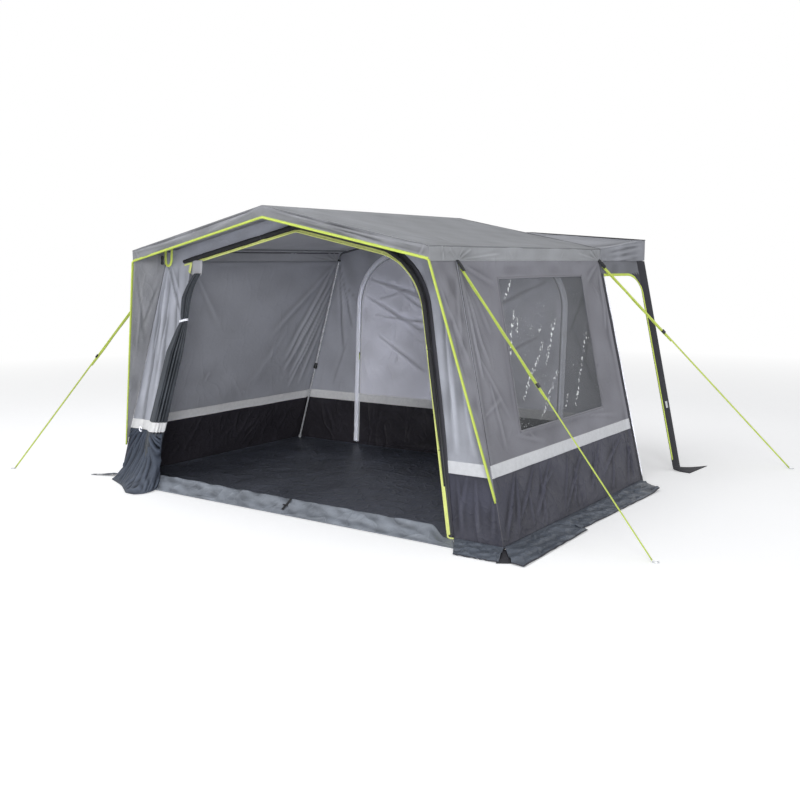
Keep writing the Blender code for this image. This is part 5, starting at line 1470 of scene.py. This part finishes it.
def flapPiece(name, node, corners, seed, look="skirtCloth", curl=0.0, lying=0.0):
    # corners: where it starts and ends at the wall, then its outer line back to the start, on the ground
    columns = max(60, int(110 * math.dist(corners[0], corners[1])))
    inner, outer = evenly(corners[:2], columns), evenly(corners[:1:-1], columns)
    shares = runs([0, 0.88, 1], [26, 5])
    flat = between(inner, outer, shares)
    a, b = halvesOf(flat)
    s, along = shares[:, None], np.linspace(0, 1, columns)
    small = spray(seed, 60, ((a.min(), a.max()), (b.min(), b.max())), ((-0.14, 0.14), (-0.14, 0.14)), 10, 12)
    field = ripple(a * 1.6, b * 1.6, seed, 0.2, 0.007) + creases(a, b, small)
    lift = np.maximum(within((s, 0.2), (1 - s, 0.12)) * (field + 0.004), -0.0006)
    lift += 0.012 * (1 - s) ** 1.4 + 0.002 * (1 - s) + lying
    lift += 0.004 * hold(s - 0.8, 0.2) * (0.5 + 0.5 * np.sin(along * 37 + 2 * np.sin(along * 11)))
    lift += curl * hold(along - 0.9, 0.1) * s
    # the fold unit sets how strong the painted shade and painted highlight of its creases are
    fold = foldsOf(lift, 0.004 if look == "skirtCloth" else 0.014)
    cloth(name, flat, groundAt, (0, 0, 1), [look, "groundCloth"], lift, nodes=[node], fold=fold)
    hem = spots(a[-2], b[-2], onGround + lift[-2])
    tape(name + "Hem", hem, 0.014, (0, 0, 1), "darkTape", 0.0014, slotName="skirt_cloth")


flapLook = {
    "base": halfGround + 0.002, "outer": halfGround + 0.285, "lying": 0.0025, "curl": 0.02,
    "looks": {"right": "skirtCloth", "left": "footCloth"},
    # where each one's outer line ends: the left one is turned in behind its front tip
    "ends": {"right": [(2.235, frontY - 0.262), (2.145, frontY - 0.25)],
             "left": [(2.235, -1.03), (2.06, -1.2), (2.05, -1.42), (2.235, -1.6)]},
}


def makeFlaps():
    base, outer = flapLook["base"], flapLook["outer"]
    for word, side in sides.items():  # two lengths lie one over the other
        look = flapLook["looks"][word]
        front = [(base, frontY), (base, -0.66), (outer - 0.02, -0.76), *flapLook["ends"][word]]
        rear = [(base, -0.74), (base, rearY - 0.002), (outer - 0.03, rearY - 0.235), (outer - 0.065, -0.74)]
        front, rear = ([(side * x, y) for x, y in line] for line in (front, rear))
        flapPiece("flapCloth_" + word, "mud_flap_" + word, front, 160 + side, look, lying=flapLook["lying"])
        flapPiece("flapRearCloth_" + word, "mud_flap_" + word, rear, 165 + side, look, flapLook["curl"])
    # a dark strip in the notch between the front and side flaps: the ground cloth's tucked corner, darker than
    # the ground cloth as painted shade in the notch
    tuckShade = evenly([(1.95, frontY - 0.004, 0.002), (2.105, frontY - 0.257, 0.002)], 24)
    tape("cornerTuckShade_right", tuckShade, 0.125, (0, 0, 1), "stripCloth", 0.001, scale=np.linspace(0.35, 1.0, 24))
    tip = [(1.562, -0.002), (1.948, -0.002), (2.06, -0.275), (1.732, -0.29)]
    flapPiece("flapFrontCloth_right", "mud_flap_front_right", [(x, frontY + y) for x, y in tip], 171)


pileLook = {
    "top": 0.452, "left": -1.838, "width": 0.493, "bulge": 0.112, "folds": 7.5, "depth": 0.027, "knot": -1.57,
    "ground": [(-1.952, frontY - 0.03), (-1.945, -1.6), (-1.79, -1.66), (-1.66, -1.715),
               (-1.53, -1.795), (-1.42, -1.868), (-1.31, -1.87), (-1.262, -1.815), (-1.262, -1.73),
               (-1.3, -1.63), (-1.4, -1.55)],
}


def makeLeftPile():  # the dark foot of the left panel and of the gathered door, slack on the ground
    u, s = np.linspace(0, 1, 240), np.linspace(0, 1, 110)[:, None]
    top = pileLook["top"]
    x0 = pileLook["left"] + pileLook["width"] * u
    y0 = frontY + frontLean * top - 0.008 - pileLook["bulge"] * bell(x0 + 1.43, 0.115)
    line = evenly(pileLook["ground"], len(u))
    for _ in range(20):
        line[1:-1] = (line[:-2] + 2 * line[1:-1] + line[2:]) / 4
    turning = hold(u, 0.3)  # the left edge follows the wall and only turns out at its foot
    x = x0 + (line[:, 0] - x0) * (0.85 * s + 0.15 * s ** 4)
    y = y0 + (line[:, 1] - y0) * (0.2 * s * turning + (1 - 0.2 * turning) * s ** (9 - 6 * turning))
    z = top * (1 - s) + 0.004 * s
    points = spots(x, y, z)
    fan = (x - pileLook["knot"]) / (0.1 + 0.55 * (top - z))
    wave = abs(np.sin(fan * pileLook["folds"] + 0.6 * np.sin(z * 9))) ** 0.65 - 0.55
    wave += np.sin(fan * 27 + z * 8) * 0.3
    low = hold(s - 0.72, 0.18)  # crumpled where it lies on itself
    small = spray(29, 40, ((-1.9, -1.3), (-2.0, -1.5)), ((-0.16, 0.16), (-0.05, 0.05)), 9, 12)
    crumple = ripple(x * 1.2, (y - z) * 2.2, 173, 0.12, 0.0075) + creases(x, y - z, small)
    relief = within((s, 0.12), (1 - s, 0.06), (u, 0.05), (1 - u, 0.05)) * (
        (1 - 0.6 * low) * pileLook["depth"] * wave + low * crumple)
    swell = (0.014 * np.sin(np.pi * s ** 2.5) + 0.008 * np.sin(np.pi * s)) * np.sin(np.pi * u) ** 0.5
    points = points + facings(points, (0, -1, 0.3)) * (relief + swell)[..., None]
    points[..., 2] = np.maximum(points[..., 2], 0.004)
    points[..., 0] = np.clip(points[..., 0], -1.975, -1.2)
    flat = spots(travelled(points, 1), travelled(points)[:, None])
    # a small fold unit for strong painted shade and painted highlight in its folds
    cloth("leftFootCloth", flat, points, (0, -1, 0.6), ["footCloth", "wallLowerInside"],
          nodes=["mud_flap_front_left"], fold=foldsOf(relief, 0.006))
    turn = np.linspace(0, 5.5, 20)
    knot = spots(-1.585 + 0.015 * np.cos(turn), frontY - 0.055, 0.475 + 0.018 * np.sin(turn))
    rod("leftFootToggle", knot, ringProfile(0.0045, 8), (0, -1, 0), "paleBinding")


makeGroundsheet()
makeSill()
makeFlaps()
makeLeftPile()
print("awning: ground cloth made")


# Corner seams, legs and poles

seamLook = {"radius": 0.0028, "flatness": 0.7, "in": 0.001}


def makeCornerSeams():
    heights = np.linspace(0.02, hemHeight - 0.003, 90)
    for word, side in sides.items():
        for end, wall, way in (("front", frontAt, -1), ("rear", rearAt, 1)):
            path = wall(side * cornerHalf(heights), heights) - np.array((side, way, 0)) * seamLook["in"]
            profile = ringProfile(seamLook["radius"], 8, seamLook["flatness"])
            rod(f"cornerSeam_{end}_{word}", path, profile, (side, way, 0.2), "seamTape")


legLook = {
    "inset": 0.055, "reach": hemHeight - 0.03, "radius": 0.017, "gap": 0.004,
    "leverAt": 0.818, "leverWidth": 0.013, "leverOut": 0.018, "leverDrop": 0.03,
    "clamp": [(0.0127, 0.79), (0.0185, 0.79), (0.02, 0.794), (0.02, 0.812), (0.0175, 0.818),
              (0.0172, 0.84), (0.015, 0.848), (0.0127, 0.85)],
    "crown": [(0.0128, -0.012), (0.0136, -0.01), (0.0136, 0.036), (0.0104, 0.038)],
    "top": [(0.0104, 0.034), (0.0152, 0.036), (0.0158, 0.052), (0.0104, 0.056)],
}


def legLine(side, start, back):  # the leg's foot and its direction
    foot = np.array((side * (halfGround - legLook["inset"]), start, 0.0))
    way = unit(np.array((side * (halfTop - legLook["inset"]), start + back, hemHeight)) - foot)
    return foot + (0, 0, legLook["gap"] + legLook["radius"] * math.sin(math.acos(way[2]))), way


def makeLegs():
    inset = legLook["inset"]
    for end, start, back, into in (("front", frontY + inset, 0.19, 0.6), ("rear", rearY - inset, 0.115, -0.6)):
        for word, side in sides.items():
            base, way = legLine(side, start, back)
            label = end + "_" + word
            repaint("steelTube", "leg_sleeve_" + label, "leg_" + label)
            turned("legClamp_" + label, legLook["clamp"], base, way, count=24)
            out = np.array((side * -0.8, into, 0.0))
            out = unit(out - way * (out @ way))
            share = np.linspace(0, 1, 8)[:, None]
            path = base + way * (legLook["leverAt"] - share ** 2 * legLook["leverDrop"])
            path += out * legLook["leverOut"] * (1 + share)
            width = legLook["leverWidth"]
            lever = tape("clampLever_" + label, path, width, way, "blackPlastic", thickness=0.004)
            bevel = lever.modifiers.new("edges", "BEVEL")
            bevel.width, bevel.segments, bevel.limit_method = 0.001, 2, "ANGLE"
            reach = legLook["reach"] / way[2]
            crown, top = ([(radius, reach + height) for radius, height in legLook[key]]
                          for key in ("crown", "top"))
            turned("legCrown_" + label, crown, base, way, "steelTube", 24)
            turned("legTop_" + label, top, base, way, count=24)


makeCornerSeams()
makeLegs()
repaint("rodFibre", "gable_pole_front", "gable_pole_rear", "ridge_pole")
repaint("roofTape", "eave_pole_left", "eave_pole_right")
print("awning: seams and frame made")


# Floor and light

studio = {"floor": (245, 246, 248), "sky": 0.44, "glow": 0.26, "whiteFrom": 6.0, "whiteAt": 13.0, "reach": 60}
lamps = {
    "frontLamp": {"power": 1240.0, "size": 5.0, "place": (11.2, -14.0, 4.4), "target": (-0.4, 0, 0.9)},
    "topLamp": {"power": 420.0, "size": 7.0, "place": (-2.0, -3.0, 9.5), "target": (0, 0, 0.9)},
}
white = (1, 1, 1, 1)


def makeSky():
    scene = bpy.context.scene
    scene.world = bpy.data.worlds.new("studio")
    sky = Paint("studio", scene.world)
    path = sky.add("LightPath")
    # white for what the camera sees, also through film and in a gloss
    share = path.maths("MAXIMUM", path.out("Is Glossy Ray")).maths("MAXIMUM", path.out("Is Transmission Ray"))
    lit, seen = (sky.add("Background", None, {"Color": white, "Strength": power})
                 for power in (studio["sky"], 1.0))
    shader = sky.add("MixShader", None, {0: share, 1: lit, 2: seen})
    sky.add("OutputWorld", None, {0: shader})


def makeFloor():
    ground = Paint("studioFloor")
    place, seen = ground.place(), ground.add("LightPath")
    distance = ground.add("VectorMath", {"operation": "LENGTH"}, {0: place}, "Value")
    far = ground.limit(distance, studio["whiteFrom"], studio["whiteAt"]) * seen
    colour = ground.mix(ground.noise(place, 3.0, 2.0), tint(studio["floor"]), tint(studio["floor"], 1, 3))
    matt = ground.add("BsdfPrincipled", None, {
        "Base Color": colour, "Roughness": 0.9, "Specular IOR Level": 0.1, "Emission Color": white,
        "Emission Strength": seen * studio["glow"]})
    bright = ground.add("Emission", None, {"Color": white, "Strength": 1.0})
    shader = ground.add("MixShader", None, {0: far, 1: matt, 2: bright})
    ground.add("OutputMaterial", None, {0: shader})
    mesh = bpy.data.meshes.new("studioFloor")
    reach = studio["reach"]
    corners = [(x * reach, y * reach, -0.001) for x, y in ((-1, -1), (1, -1), (1, 1), (-1, 1))]
    mesh.from_pydata(corners, [], [(0, 1, 2, 3)])
    mesh.materials.append(ground.owner)
    floor = bpy.data.objects.new("studioFloor", mesh)
    bpy.context.scene.collection.objects.link(floor)


def makeLamps():
    for name, look in lamps.items():
        lamp = bpy.data.lights.new(name, "AREA")
        lamp.energy, lamp.size = look["power"], look["size"]
        light = bpy.data.objects.new(name, lamp)
        light.location = look["place"]
        towards = Vector(look["target"]) - Vector(look["place"])
        light.rotation_euler = towards.to_track_quat("-Z", "Y").to_euler()
        bpy.context.scene.collection.objects.link(light)


makeSky()
makeFloor()
makeLamps()
bpy.context.scene.view_settings.view_transform = "Standard"
bpy.context.view_layer.update()
print("awning: all made")
